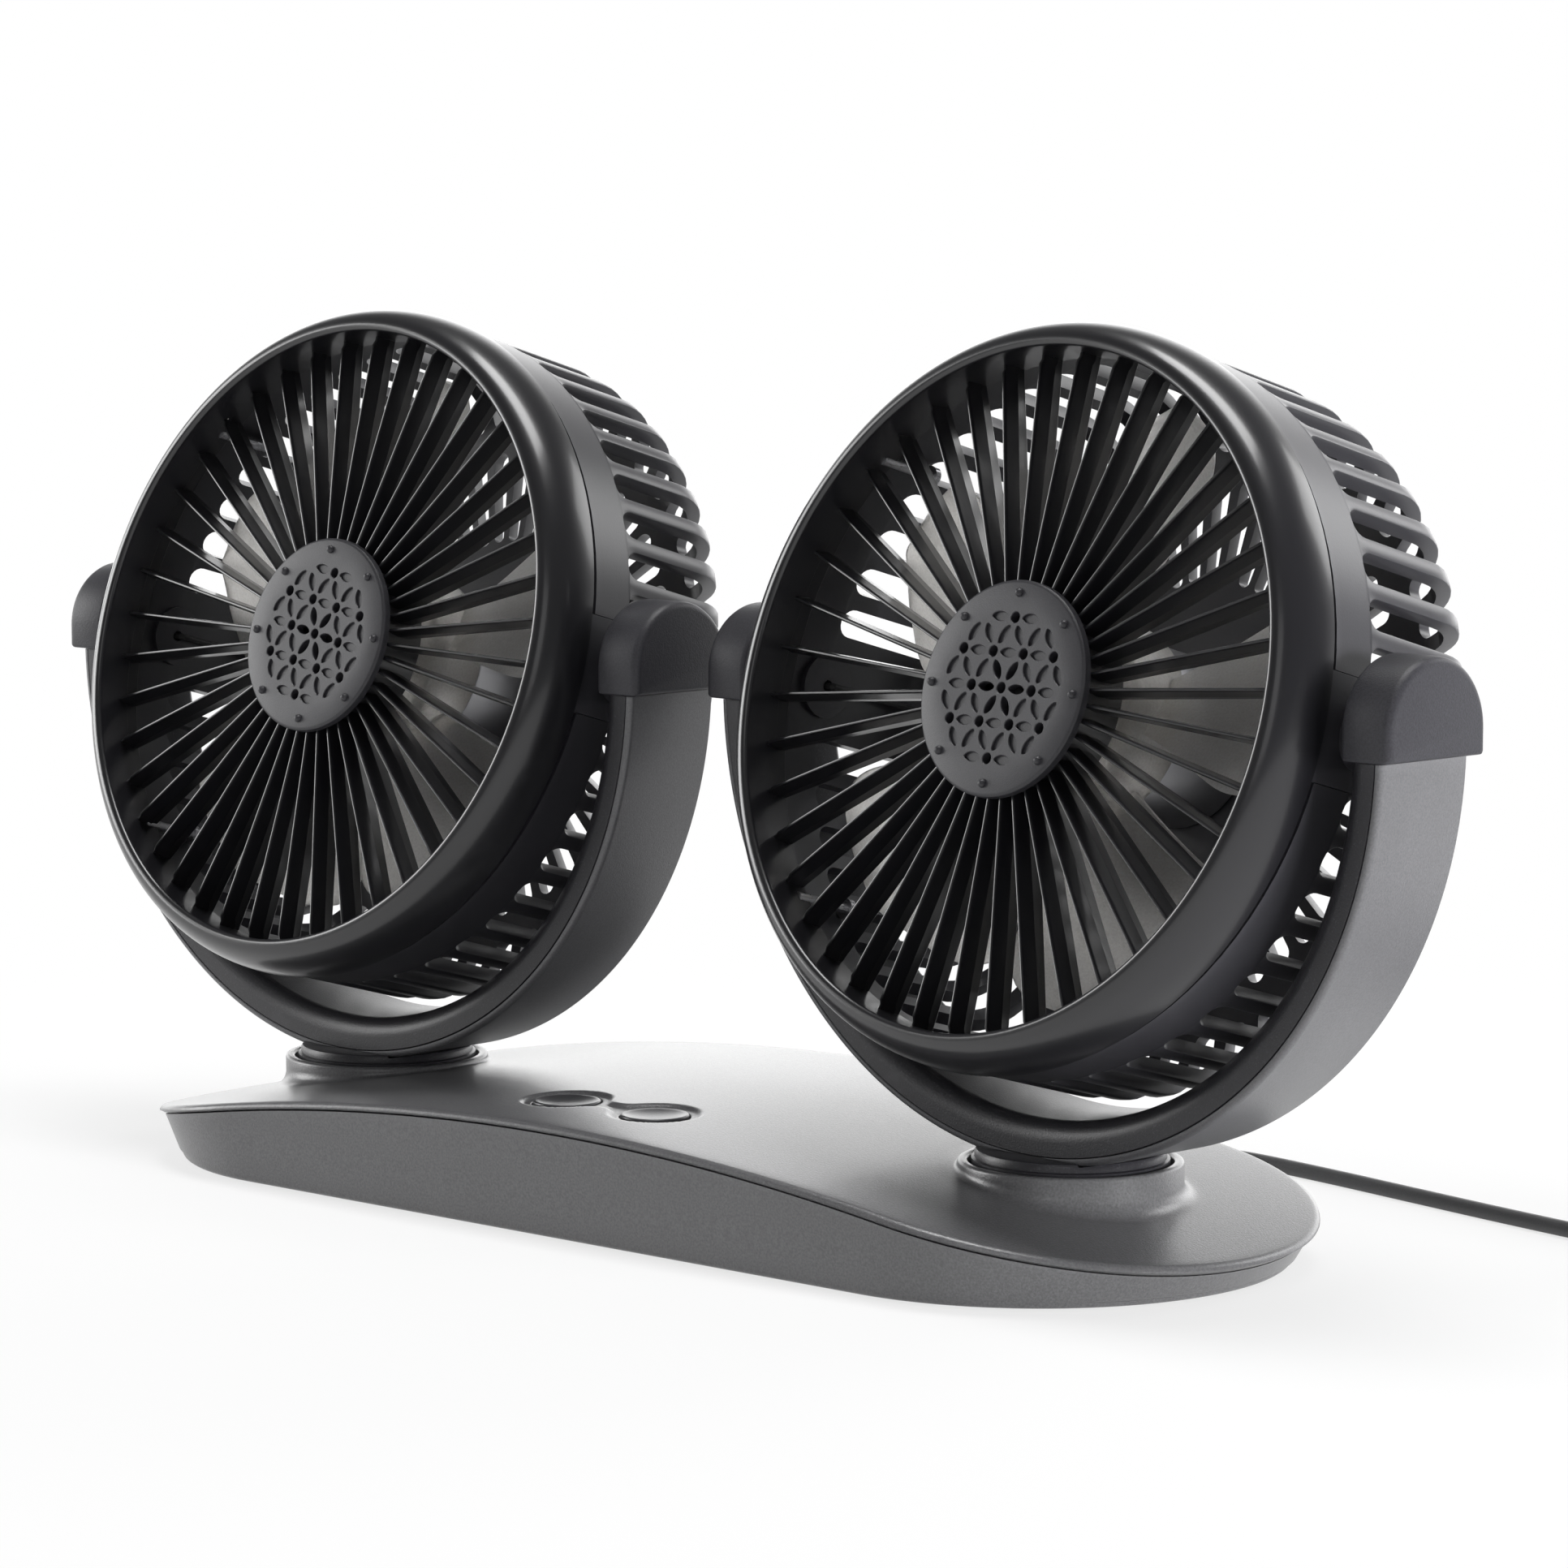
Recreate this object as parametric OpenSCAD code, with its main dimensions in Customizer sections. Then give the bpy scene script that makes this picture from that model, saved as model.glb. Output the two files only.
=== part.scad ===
// Dual-head desk and dashboard fan: two tilting, swivelling fan heads on one arched base.
// The origin is the middle of the grip pad's underside. X runs along the base from the left
// fan to the right one, Y to the back, Z up. The heads blow towards -Y.

/* [Base] */
// Length of the base beyond each swivel axis
end_run = 34; // [32:0.5:38]
// Width of the base
base_w = 78; // [72:1:90]
// Height of the base's top at the middle
base_crown = 17.6; // [16.8:0.2:20]
// Radius of the arch that the base's top follows
arch_r = 450; // [430:10:600]
// How far the end walls lean in at the bottom
end_lean = 3.4; // [1:0.2:4]
// How far the long walls lean in at the bottom
side_lean = 0.8; // [0.4:0.2:2]
// Wall of the base's two shells
shell_t = 1.8; // [1.6:0.1:2.2]
// Height of the rim band above the base's seam
rim_t = 1.5; // [1.3:0.1:1.8]
// Open seam between the base's two shells
base_seam = 0.2; // [0.1:0.05:0.4]
// How far the top rim overhangs the bottom shell
rim_out = 0.3; // [0.1:0.1:0.6]
// Thickness of the grip pad
pad_t = 1.2; // [1:0.1:1.6]
// How far the grip pad stands out of the base
pad_out = 0.4; // [0.2:0.1:0.6]
// Length of the grip pad
pad_len = 130; // [100:2:140]
// Width of the grip pad
pad_w = 46; // [40:1:50]

/* [Base screws] */
// Distance of the end screws from the base's ends
end_screw_in = 16; // [15:0.5:17]
// Distance from the middle to the side screws along the base
side_screw_x = 40; // [36:1:44]
// Distance from the middle to the side screws across the base
side_screw_y = 29.5; // [29:0.5:31]
// Radius of the screws' shanks
screw_r = 1.1; // [1:0.05:1.3]
// Radius of the screws' heads
screw_head_r = 2.2; // [2:0.1:2.4]
// Height of the screws' heads
screw_head_h = 1.3; // [1:0.1:1.6]

/* [Buttons] */
// Distance between the two buttons
button_gap = 18; // [17:0.5:22]
// Distance of the buttons in front of the middle line
button_y = 21.5; // [20:0.5:23]
// Radius of a button
button_r = 5.1; // [4.6:0.1:5.6]
// How far a button travels
button_travel = 0.8; // [0.5:0.1:0.9]
// Depth of the dish in a button's top
button_dish = 0.5; // [0.2:0.1:0.6]
// Width of the sunk border round a button
button_border = 1.8; // [1.4:0.1:2.2]
// Width of the sunk neck that joins the two borders
button_neck = 4.5; // [3:0.5:6]
// Depth of the sunk border
button_sunk = 0.5; // [0.4:0.1:0.7]

/* [Swivels] */
// Gap between the two yokes' pivot caps
head_gap = 8; // [6:0.5:14]
// Outer radius of the boss that carries a turntable
boss_r = 16.2; // [15.6:0.1:16.6]
// Height of a boss's rim above the desk
boss_top = 15.3; // [14.9:0.1:15.5]
// Depth of the recess in a boss
boss_recess = 1.6; // [1.4:0.1:1.8]
// Radius of a turntable
turntable_r = 14.2; // [13.6:0.1:14.6]
// Height of a turntable's top above the boss's rim
turntable_up = 1.6; // [1.2:0.1:1.9]
// Radius of a swivel's spigot
spigot_r = 6; // [5.5:0.1:6.5]
// Radius of the wire hole through a spigot
spigot_hole_r = 3; // [2.5:0.1:3.5]
// Angle that the left yoke is turned to at rest
left_pan = -1; // [-20:1:20]
// Angle that the right yoke is turned to at rest
right_pan = -5; // [-20:1:20]

/* [Yokes] */
// Height of a yoke's lowest point above the boss's rim
yoke_foot = 0.4; // [0.2:0.1:0.8]
// Gap between a housing and its yoke
yoke_gap = 4.5; // [4.3:0.1:5]
// Depth of a yoke with its cover band
yoke_d = 6.3; // [6.1:0.1:6.8]
// Width of a yoke from front to back
yoke_w = 17.8; // [17:0.1:18.2]
// Thickness of a yoke's cover band
cover_t = 1.1; // [1:0.1:1.3]
// Wall of a yoke's channel
channel_t = 1.6; // [1.4:0.1:1.8]
// Radius of a yoke's rounded front inner edge
yoke_round = 3; // [2:0.1:3.2]
// Open seam between a yoke and its cover
yoke_seam = 0.1; // [0.05:0.05:0.15]

/* [Pivots] */
// How far a pivot cap stands out of the yoke's cover band
cap_proud = 2.2; // [2.1:0.1:2.6]
// Length of a pivot cap along the tilt axis
cap_len = 8.4; // [8.2:0.1:8.6]
// Half width of a pivot cap
cap_half_w = 10.1; // [10:0.1:10.4]
// Depth of a pivot cap below the tilt axis
cap_drop = 2.1; // [1.9:0.1:2.3]
// Height of the straight part of a cap above the tilt axis
cap_rise = 1.6; // [1.4:0.1:1.8]
// Wall of a pivot cap
cap_t = 1.1; // [1:0.05:1.2]
// Radius of the pivot pin at each side of a head
pin_r = 3.5; // [3.3:0.1:3.7]
// Radius of the boss that a pivot pin stands on
pin_boss_r = 4.8; // [4.6:0.1:5]
// Running clearance between a pivot pin and its bore
pin_gap = 0.06; // [0.04:0.01:0.08]

/* [Heads] */
// Angle that a head's front is tilted up at rest
head_tilt = 15.4; // [0:0.2:20]
// How far the bezel stands proud of the housing at the seam
bezel_proud = 0.6; // [0.4:0.1:0.9]
// Distance of the seam in front of the tilt axis
seam_z = 8.4; // [8:0.1:8.8]
// Distance of the bezel's front in front of the tilt axis
bezel_front = 16.8; // [16.6:0.1:17]
// Width of the bezel's rounded rim
bezel_w = 4.8; // [4.6:0.1:5]
// Number of fins in a grille
fin_count = 42; // [38:2:44]
// Thickness of a fin
fin_t = 1.1; // [0.9:0.1:1.2]
// Depth of a fin at the bezel's wall
fin_d = 4.3; // [4:0.1:4.6]
// Radius of the hub plate
plate_r = 15.5; // [15:0.1:16]
// Distance of the hub plate's face in front of the tilt axis
plate_z = 15.3; // [15.1:0.1:15.7]
// Thickness of the hub plate
plate_t = 1.4; // [1.2:0.1:1.6]
// Distance between neighbouring points of the hub plate's pattern
lattice = 5.8; // [5.5:0.1:6]
// Radius of the pattern's round holes
lattice_hole_r = 0.8; // [0.6:0.05:0.9]
// Radius of the rivets' circle
rivet_circle_r = 13.6; // [13.5:0.1:13.8]
// Radius of a rivet's dome
rivet_r = 0.65; // [0.5:0.05:0.7]

/* [Housings] */
// Outer radius of the rear housing
housing_r = 53; // [50:0.5:60]
// Distance of the rear face behind the tilt axis
housing_back = 26.8; // [26.6:0.1:27.2]
// Radius of the housing's rounded rear corner
corner_r = 10; // [9:0.5:10.5]
// Wall of the housing
housing_t = 2.2; // [2:0.1:2.4]
// Number of slot places round the housing
slot_count = 48; // [44:4:48]
// Width of a slot on the housing's side
slot_w = 4.4; // [4:0.1:4.6]
// Distance of the slots' front ends in front of the tilt axis
slot_front = 0; // [-1:0.5:0.5]
// Radius of the closed middle of the housing's back
back_disc_r = 24; // [22:0.5:25]
// Width of the closed ring between the housing's side slots and rear slots
back_ring_w = 4.2; // [3.6:0.1:4.8]

/* [Rotors] */
// Gap between the blade tips and the bezel's inner wall
tip_gap = 3.8; // [3:0.2:5]
// Radius of the rotor's hub
hub_r = 14; // [13.8:0.2:15]
// Length of the rotor's hub
hub_len = 10.4; // [10:0.2:11]
// Number of blades
blade_count = 5; // [5:1:6]
// Pitch of a blade at its tip
blade_pitch = 24; // [18:1:26]
// Thickness of a blade
blade_t = 1.1; // [1:0.1:1.3]
// Radius of the motor's can
motor_r = 12.4; // [12:0.1:12.6]
// Length of the motor's can
motor_len = 16; // [15.6:0.2:16.4]
// Radius of the motor's shaft
shaft_r = 1; // [0.8:0.1:1.2]

/* [Cord] */
// Diameter of the cord
cord_d = 2.4; // [2.2:0.1:2.6]
// Place of the cord's outlet along the back wall
outlet_x = 18; // [16:1:20]
// Height of the cord's outlet
outlet_h = 5.5; // [5:0.1:6]
// Mean radius of the put-away loops
coil_r = 13.4; // [13:0.1:14]
// Layers in the put-away coil
coil_layers = 4; // [2:2:4]
// Loops in a layer
coil_turns = 3; // [2:1:3]
// Length of the plug's moulded body
plug_len = 21; // [19:0.5:24]
// Width of the plug's moulded body
plug_w = 15; // [14.5:0.5:16]
// Height of the plug's moulded body
plug_h = 7.6; // [7:0.2:8]

/* [Hidden] */
$fn = 72;

// Colours
graphite = [0.16, 0.16, 0.17];
black = [0.06, 0.06, 0.065];
steel = [0.62, 0.63, 0.65];
blade_grey = [0.78, 0.75, 0.72];
board_green = [0.05, 0.3, 0.16];
wire_red = [0.1, 0.1, 0.11];

// Shared small values
eps = 0.01;
cut = 1;
left = -1;
right = 1;

// Main radii and places, from the housing outwards
head_r = housing_r + bezel_proud;
bezel_in_r = head_r - bezel_w;
rotor_r = bezel_in_r - tip_gap;
yoke_in_r = housing_r + yoke_gap;
yoke_out_r = yoke_in_r + yoke_d;
cap_x = yoke_out_r + cap_proud;
pivot_h = boss_top + yoke_foot + yoke_out_r;
head_spacing = 2 * cap_x + head_gap;

// Base
base_len = head_spacing + 2 * end_run;
base_floor = pad_out;
rim_end_h = arch_h(base_len / 2);
block_h = base_crown - base_floor + cut;
end_grow = end_lean * 2 * block_h / (rim_end_h - base_floor);
side_grow = side_lean * 2 * block_h / (base_crown - base_floor);
foot_len = base_len - 2 * end_lean - 2 * rim_out;
foot_w = base_w - 2 * side_lean - 2 * rim_out;
seam_crown = base_crown - rim_t;
end_points = 24;
post_r = screw_r + 1.9;
post_seat = 6.6;
end_seat = 4.6;
function seat(p) = p[1] == 0 ? end_seat : post_seat;
end_screw_x = base_len / 2 - end_screw_in;
base_screw_places = [[-end_screw_x, 0], [end_screw_x, 0],
                     for (sx = [-1, 1], sy = [-1, 1]) [sx * side_screw_x, sy * side_screw_y]];

// Control board and switches
board_t = 1.6;
board_z = base_floor + shell_t + 4.8;
board_len = 50;
board_w = 24;
board_y = -button_y + 2;
board_screw_x = board_len / 2 - 3.5;
switch_w = 6;
switch_h = 2.6;
plunger_h = 0.7;
plunger_r = 1.4;
button_hole_r = button_r + 0.3;
border_r = button_r + button_border;
button_top = arch_h(button_gap / 2) - 0.15;
sunk_z = arch_h(button_gap / 2) - button_sunk;
flange_t = 0.8;
flange_top = arch_h(button_gap / 2 + button_r + 1) - rim_t - 0.15;
stem_bottom = board_z + board_t + switch_h + plunger_h + button_travel + 0.1;

// Ballast plate
ballast_len = 66;
ballast_w = 24;
ballast_t = 4;
ballast_y = 13;
ballast_peg_x = 24;
peg_r = 1.5;

// Swivels
boss_floor = boss_top - boss_recess;
boss_under = 9.4;
boss_core_r = spigot_r + 3.5;
recess_r = turntable_r + 0.5;
turntable_bottom = boss_floor + 0.15;
turntable_top = boss_top + turntable_up;
washer_t = 0.5;
nut_h = 2.4;
nut_r = spigot_r + 2.4;
nut_top = boss_under - 0.15 - washer_t - 0.05;
spigot_bottom = nut_top - nut_h - 0.4;
run = 0.05;

// Yokes
seam_r = yoke_out_r - cover_t;
arm_end = -(cap_drop + 0.2);
arm_x0 = cap_x - cap_len + cap_t + 0.6;
arm_x1 = arm_x0 + 2.4;
arm_half_w = cap_half_w - cap_t - 0.3;
arm_low = 8;
yoke_screw_x = 10;

// Pivots
pad_inset = 1;
pad_half_w = 7.6;
pad_front = seam_z - 0.1;
pad_back = -7;
pad_gap = 0.1;
block_front = seam_z - 3.7;
pin_end = arm_x1 + 0.1;
pin_root = housing_r - housing_t - 0.8;
clip_t = 0.6;
clip_r = pin_r + 0.8;
wire_r = 0.5;
wire_y = 6.2;
wire_track_r = seam_r - 1.6;
pivot_screw_r = 1.2;

// Heads
lip_r = head_r - 4;
fin_front_out = bezel_front - 4.1;
fin_front_in = plate_z - 1.6;
cup_r = plate_r - 0.9;
cup_t = 1.6;
cup_back = 6;
lap_t = 0.8;
lap_gap = 0.1;
lap_len = 2.2;
petal_len = lattice * 0.26;
petal_wid = lattice * 0.115;
blind_depth = 0.35;
head_screw_angles = [41.25, 138.75, 221.25, 318.75];
head_screw_r = bezel_in_r + 0.4;
head_post_r = 1.7;
head_post_back = slot_front + 0.6;
fin_rear = fin_front_out - fin_d;
fin_step = fin_d * 0.62;
wall_rear = fin_rear - 0.2;
skirt_rear = seam_z - lap_len;
post_rear = skirt_rear - 0.05;
post_front = fin_front_out - 1;
post_seam = 0.15;

// Housing and motor
housing_in_r = housing_r - housing_t;
slot_step = 360 / slot_count;
ring_out_r = housing_r - corner_r + 0.4;
ring_in_r = ring_out_r - back_ring_w;
bend_r = corner_r - housing_t - 2.3;
bend_x = housing_r - corner_r;
bend_z = -housing_back + corner_r;
motor_seat = -housing_back + housing_t;
motor_front = motor_seat + motor_len;
motor_screw_circle = 7.5;
can_round = 1.2;

// Rotor
hub_back = motor_front + 0.8;
hub_front = hub_back + hub_len;
blade_root = hub_r - 1;
blade_mid_z = hub_back + hub_len * 0.5;
blade_half_root = 17;
blade_half_tip = 25;
blade_steps_r = 8;
blade_steps_a = 6;
nut_face_r = 3;

// Cord
cord_r = cord_d / 2;
grommet_out = base_w / 2 + 7;
grommet_in = base_w / 2 - 5.6;
coil_gap = 0.45;
coil_step = cord_d + coil_gap;
coil_base = 0.8;
heading = -12.4;
coil_start = [138, 57.1];
coil_out_r = coil_r + coil_step * coil_turns / 2;
coil_centre = coil_start + coil_out_r * [cos(heading + 90), sin(heading + 90)]
              + cord_d * [cos(heading), sin(heading)];
lead_points = [[outlet_x, grommet_out, outlet_h], [outlet_x, grommet_out + 1.2, outlet_h],
               [outlet_x, grommet_out + 6.6, outlet_h - 0.8], [outlet_x + 1.5, 60, 3],
               [outlet_x + 6, 68, 1.7], [outlet_x + 14, 74.5, 1.2], [43, 77, 1.2],
               [60, 74.4, 1.2], [80, 70, 1.2], [100, 65.6, 1.2],
               [120, 61.1, 1.4], [136.83, 57.36, 2], [138, 57.1, 2]];
lead_steps = [1, 2, 2, 2, 2, 2, 3, 4, 4, 4, 4, 1];
coil_top = coil_base + cord_r + (coil_layers - 1) * coil_step;
tail_start = [for (k = [0:1]) coil_start[k] + 2 * cord_d * [cos(heading), sin(heading)][k]];
tail_run = 26;
plug_z = plug_h / 2;
plug_start = [for (k = [0:1]) tail_start[k] + tail_run * [cos(heading), sin(heading)][k]];
shell_len = 18.5;
shell_w = 12;
shell_h = 4.5;
tie_t = 0.7;
tie_w = 4;

// Height of the arched top above the desk at a distance from the middle
function arch_h(x) = base_crown - arch_r + sqrt(arch_r * arch_r - x * x);

// Outline with straight sides and round ends, as points
function stadium(l, w) = [
    for (k = [0:end_points]) let (a = -90 + 180 * k / end_points)
        [l / 2 - w / 2 + w / 2 * cos(a), w / 2 * sin(a)],
    for (k = [0:end_points]) let (a = 90 + 180 * k / end_points)
        [-l / 2 + w / 2 + w / 2 * cos(a), w / 2 * sin(a)]];

// Point on a smooth curve through four neighbours
function spline(a, b, c, d, t) =
    0.5 * ((2 * b) + (c - a) * t + (2 * a - 5 * b + 4 * c - d) * t * t
           + (3 * b - a - 3 * c + d) * t * t * t);
function route(p, steps) = [
    for (k = [0:len(p) - 2], s = [0:steps[k] - 1])
        spline(p[max(k - 1, 0)], p[k], p[k + 1], p[min(k + 2, len(p) - 1)], s / steps[k]),
    p[len(p) - 1]];

// Rings and faces of a tube along a list of points
function unit(v) = v / norm(v);
function tangent(p, k) = unit(p[min(k + 1, len(p) - 1)] - p[max(k - 1, 0)]);
function ring(c, t, r, n, ref) =
    let (side = unit(cross(t, ref)), up = cross(side, t))
    [for (k = [0:n - 1]) c + r * (cos(360 * k / n) * up + sin(360 * k / n) * side)];
module tube(p, r, n, ref = [0, 0, 1]) {
    rings = [for (k = [0:len(p) - 1]) ring(p[k], tangent(p, k), r, n, ref)];
    last = (len(p) - 1) * n;
    polyhedron(
        points = [for (q = rings) each q],
        faces = [
            for (k = [0:len(p) - 2], j = [0:n - 1]) let (a = k * n + j, b = k * n + (j + 1) % n)
                each [[a, b, a + n], [b, b + n, a + n]],
            for (j = [1:n - 2]) [0, j + 1, j],
            for (j = [1:n - 2]) [last, last + j, last + j + 1]],
        convexity = 8);
}

// Wedge of leaning walls that both shells are cut from
module base_block(grow) {
    translate([0, 0, base_floor])
        linear_extrude(height = block_h, slices = 1,
                       scale = [(foot_len + end_grow + 2 * grow) / (foot_len + 2 * grow),
                                (foot_w + side_grow + 2 * grow) / (foot_w + 2 * grow)])
            polygon(stadium(foot_len + 2 * grow, foot_w + 2 * grow));
}
// Everything below the arch with a given height at the middle
module under_arch(crown) {
    translate([0, 0, crown - arch_r])
        rotate([90, 0, 0])
            cylinder(r = arch_r, h = 2 * base_w, center = true, $fn = 360);
}

module base_bottom_shell() {
    color(graphite)
    difference() {
        union() {
            difference() {
                intersection() {
                    base_block(0);
                    under_arch(seam_crown - base_seam);
                }
                translate([0, 0, shell_t]) base_block(-shell_t);
            }
            for (p = base_screw_places)
                translate([p[0], p[1], base_floor]) cylinder(r = post_r, h = seat(p) - base_floor);
            for (sx = [-1, 1], sy = [-1, 1])
                translate([sx * board_screw_x, board_y + sy * (board_w / 2 - 3.5), base_floor])
                    cylinder(r = 2.2, h = board_z - base_floor);
            for (sx = [-1, 1])
                translate([sx * ballast_peg_x, ballast_y, base_floor])
                    cylinder(r = peg_r, h = shell_t + ballast_t + 0.6);
        }
        for (p = base_screw_places) {
            translate([p[0], p[1], -cut]) cylinder(r = screw_r + 0.15, h = seat(p) + 2 * cut);
            translate([p[0], p[1], -cut])
                cylinder(r = screw_head_r + 0.3, h = base_floor + screw_head_h + 0.2 + cut);
        }
        for (sx = [-1, 1], sy = [-1, 1])
            translate([sx * board_screw_x, board_y + sy * (board_w / 2 - 3.5), board_z - 4])
                cylinder(r = 0.9, h = 4 + cut);
        pad_shape(pad_t - pad_out + base_floor, 0.2);
        translate([outlet_x, grommet_in - cut, outlet_h]) rotate([-90, 0, 0])
            cylinder(r = cord_r + 1.35, h = 12);
    }
}
module pad_shape(top, grow) {
    translate([0, 0, -eps]) linear_extrude(height = top + eps)
        union() {
            square([pad_len - pad_w + 2 * grow, pad_w + 2 * grow], center = true);
            for (sx = [-1, 1]) translate([sx * (pad_len - pad_w) / 2, 0]) circle(r = pad_w / 2 + grow);
        }
}
module grip_pad() {
    color(black) linear_extrude(height = pad_t)
        union() {
            square([pad_len - pad_w, pad_w], center = true);
            for (sx = [-1, 1]) translate([sx * (pad_len - pad_w) / 2, 0]) circle(r = pad_w / 2);
        }
}

module base_top_shell() {
    color(graphite)
    difference() {
        union() {
            difference() {
                intersection() {
                    base_block(rim_out);
                    under_arch(base_crown);
                }
                under_arch(seam_crown);
                for (side = [left, right]) translate([side * head_spacing / 2, 0, 0]) boss_hollow();
            }
            for (side = [left, right]) translate([side * head_spacing / 2, 0, 0]) boss_body();
            for (p = base_screw_places)
                translate([p[0], p[1], seat(p)])
                    cylinder(r = post_r, h = arch_h(abs(p[0]) + post_r) - rim_t / 2 - seat(p));
        }
        for (p = base_screw_places)
            translate([p[0], p[1], seat(p) - cut])
                cylinder(r = screw_r, h = arch_h(abs(p[0]) + post_r) - rim_t + 0.3 - seat(p) + cut);
        for (side = [left, right]) translate([side * head_spacing / 2, 0, 0]) {
            translate([0, 0, boss_floor]) cylinder(r = recess_r, h = boss_recess + cut);
            translate([0, 0, boss_under - cut]) cylinder(r = spigot_r + run, h = 12);
        }
        for (sx = [-1, 1]) translate([sx * button_gap / 2, -button_y, 0]) {
            translate([0, 0, 10]) cylinder(r = button_hole_r, h = 12);
            translate([0, 0, sunk_z]) cylinder(r = border_r, h = 5);
        }
        translate([0, -button_y, sunk_z + 2.5]) cube([button_gap, button_neck, 5], center = true);
    }
}
// Boss with a flared foot and an inner core
module boss_body() {
    low = arch_h(head_spacing / 2 + boss_r) - rim_t;
    intersection() {
        union() {
            translate([0, 0, low]) cylinder(r = boss_r, h = boss_top - low);
            translate([0, 0, low]) cylinder(r1 = boss_r + 4, r2 = boss_r, h = 4);
        }
        difference() {
            cylinder(r = boss_r + 6, h = boss_top);
            boss_hollow();
        }
    }
    translate([0, 0, boss_under]) cylinder(r = boss_core_r, h = boss_floor - boss_under);
}
module boss_hollow() {
    translate([0, 0, -cut]) cylinder(r = boss_r - 1.6, h = boss_floor - 1.5 + cut);
    translate([0, 0, -cut]) cylinder(r = boss_r + 7, h = cut);
}

module screw(shank, head, head_h, length) {
    cylinder(r = head, h = head_h);
    translate([0, 0, head_h - eps]) cylinder(r = shank, h = length + eps);
}
module base_screws() {
    color(steel)
    for (p = base_screw_places)
        translate([p[0], p[1], base_floor + 0.2])
            difference() {
                screw(screw_r - 0.02, screw_head_r, screw_head_h,
                      seat(p) - base_floor - screw_head_h + 1.8);
                translate([0, 0, 0.3]) cube([2.4, 0.6, 0.8], center = true);
                translate([0, 0, 0.3]) cube([0.6, 2.4, 0.8], center = true);
            }
}
module ballast_plate() {
    color(steel)
    translate([0, ballast_y, base_floor + shell_t])
        difference() {
            translate([-ballast_len / 2, -ballast_w / 2, 0]) cube([ballast_len, ballast_w, ballast_t]);
            for (sx = [-1, 1])
                translate([sx * ballast_peg_x, 0, -cut]) cylinder(r = peg_r + 0.1, h = ballast_t + 2 * cut);
        }
}
module control_board() {
    color(board_green)
    translate([0, board_y, board_z])
        difference() {
            translate([-board_len / 2, -board_w / 2, 0]) cube([board_len, board_w, board_t]);
            for (sx = [-1, 1], sy = [-1, 1])
                translate([sx * board_screw_x, sy * (board_w / 2 - 3.5), -cut])
                    cylinder(r = 1.1, h = board_t + 2 * cut);
        }
}
module board_screws() {
    color(steel)
    for (sx = [-1, 1], sy = [-1, 1])
        translate([sx * board_screw_x, board_y + sy * (board_w / 2 - 3.5), board_z + board_t + 1.2])
            rotate([180, 0, 0]) screw(0.9, 1.8, 1.2, board_t + 3.4);
}
module button_switches() {
    color(black)
    for (sx = [-1, 1])
        translate([sx * button_gap / 2, -button_y, board_z + board_t]) {
            translate([-switch_w / 2, -switch_w / 2, 0]) cube([switch_w, switch_w, switch_h]);
            translate([0, 0, switch_h - eps]) cylinder(r = plunger_r, h = plunger_h + eps);
        }
}
module button(sx) {
    dish_r = (button_r * button_r + button_dish * button_dish) / (2 * button_dish);
    color(graphite)
    translate([sx * button_gap / 2, -button_y, 0])
        difference() {
            union() {
                translate([0, 0, flange_top - flange_t])
                    cylinder(r = button_r, h = button_top - flange_top + flange_t);
                translate([0, 0, flange_top - flange_t]) cylinder(r = button_r + 1, h = flange_t);
                translate([0, 0, stem_bottom]) cylinder(r = 1.6, h = flange_top - stem_bottom);
            }
            translate([0, 0, button_top - button_dish + dish_r]) sphere(r = dish_r, $fn = 200);
        }
}
module left_button() { button(left); }
module right_button() { button(right); }

// Frames of the moving groups
function pan(side) = side < 0 ? left_pan : right_pan;
module swivel_place(side) {
    translate([side * head_spacing / 2, 0, 0]) rotate([0, 0, pan(side)]) children();
}
module yoke_place(side) {
    swivel_place(side) translate([0, 0, pivot_h]) children();
}
// In a head's own frame Z runs forward along the air stream and Y up
module head_place(side) {
    yoke_place(side) rotate([90 - head_tilt, 0, 0]) children();
}

module turntable(side) {
    color(graphite)
    swivel_place(side)
        difference() {
            union() {
                translate([0, 0, turntable_bottom])
                    cylinder(r = turntable_r, h = turntable_top - turntable_bottom);
                translate([0, 0, spigot_bottom])
                    cylinder(r = spigot_r, h = turntable_bottom - spigot_bottom + 1);
            }
            translate([0, 0, pivot_h]) rotate([90, 0, 0])
                cylinder(r = yoke_out_r + yoke_seam, h = yoke_w + 0.4, center = true, $fn = 360);
            translate([0, 0, spigot_bottom - cut]) cylinder(r = spigot_hole_r, h = 20);
            for (sx = [-1, 1]) translate([sx * yoke_screw_x, 0, turntable_bottom - cut]) {
                cylinder(r = screw_r + 0.1, h = 10);
                cylinder(r = 2, h = cut + 0.9);
            }
        }
}
module left_turntable() { turntable(left); }
module right_turntable() { turntable(right); }

module swivel_nut(side) {
    color(steel)
    swivel_place(side)
        translate([0, 0, nut_top - nut_h])
            difference() {
                cylinder(r = nut_r, h = nut_h, $fn = 6);
                translate([0, 0, -cut]) cylinder(r = spigot_r + 0.02, h = nut_h + 2 * cut);
            }
}
module left_swivel_nut() { swivel_nut(left); }
module right_swivel_nut() { swivel_nut(right); }

module swivel_washer(side) {
    color(steel)
    swivel_place(side)
        translate([0, 0, nut_top + 0.05])
            difference() {
                cylinder(r = nut_r - 0.6, h = washer_t);
                translate([0, 0, -cut]) cylinder(r = spigot_r + 0.15, h = washer_t + 2 * cut);
            }
}
module left_swivel_washer() { swivel_washer(left); }
module right_swivel_washer() { swivel_washer(right); }

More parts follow.
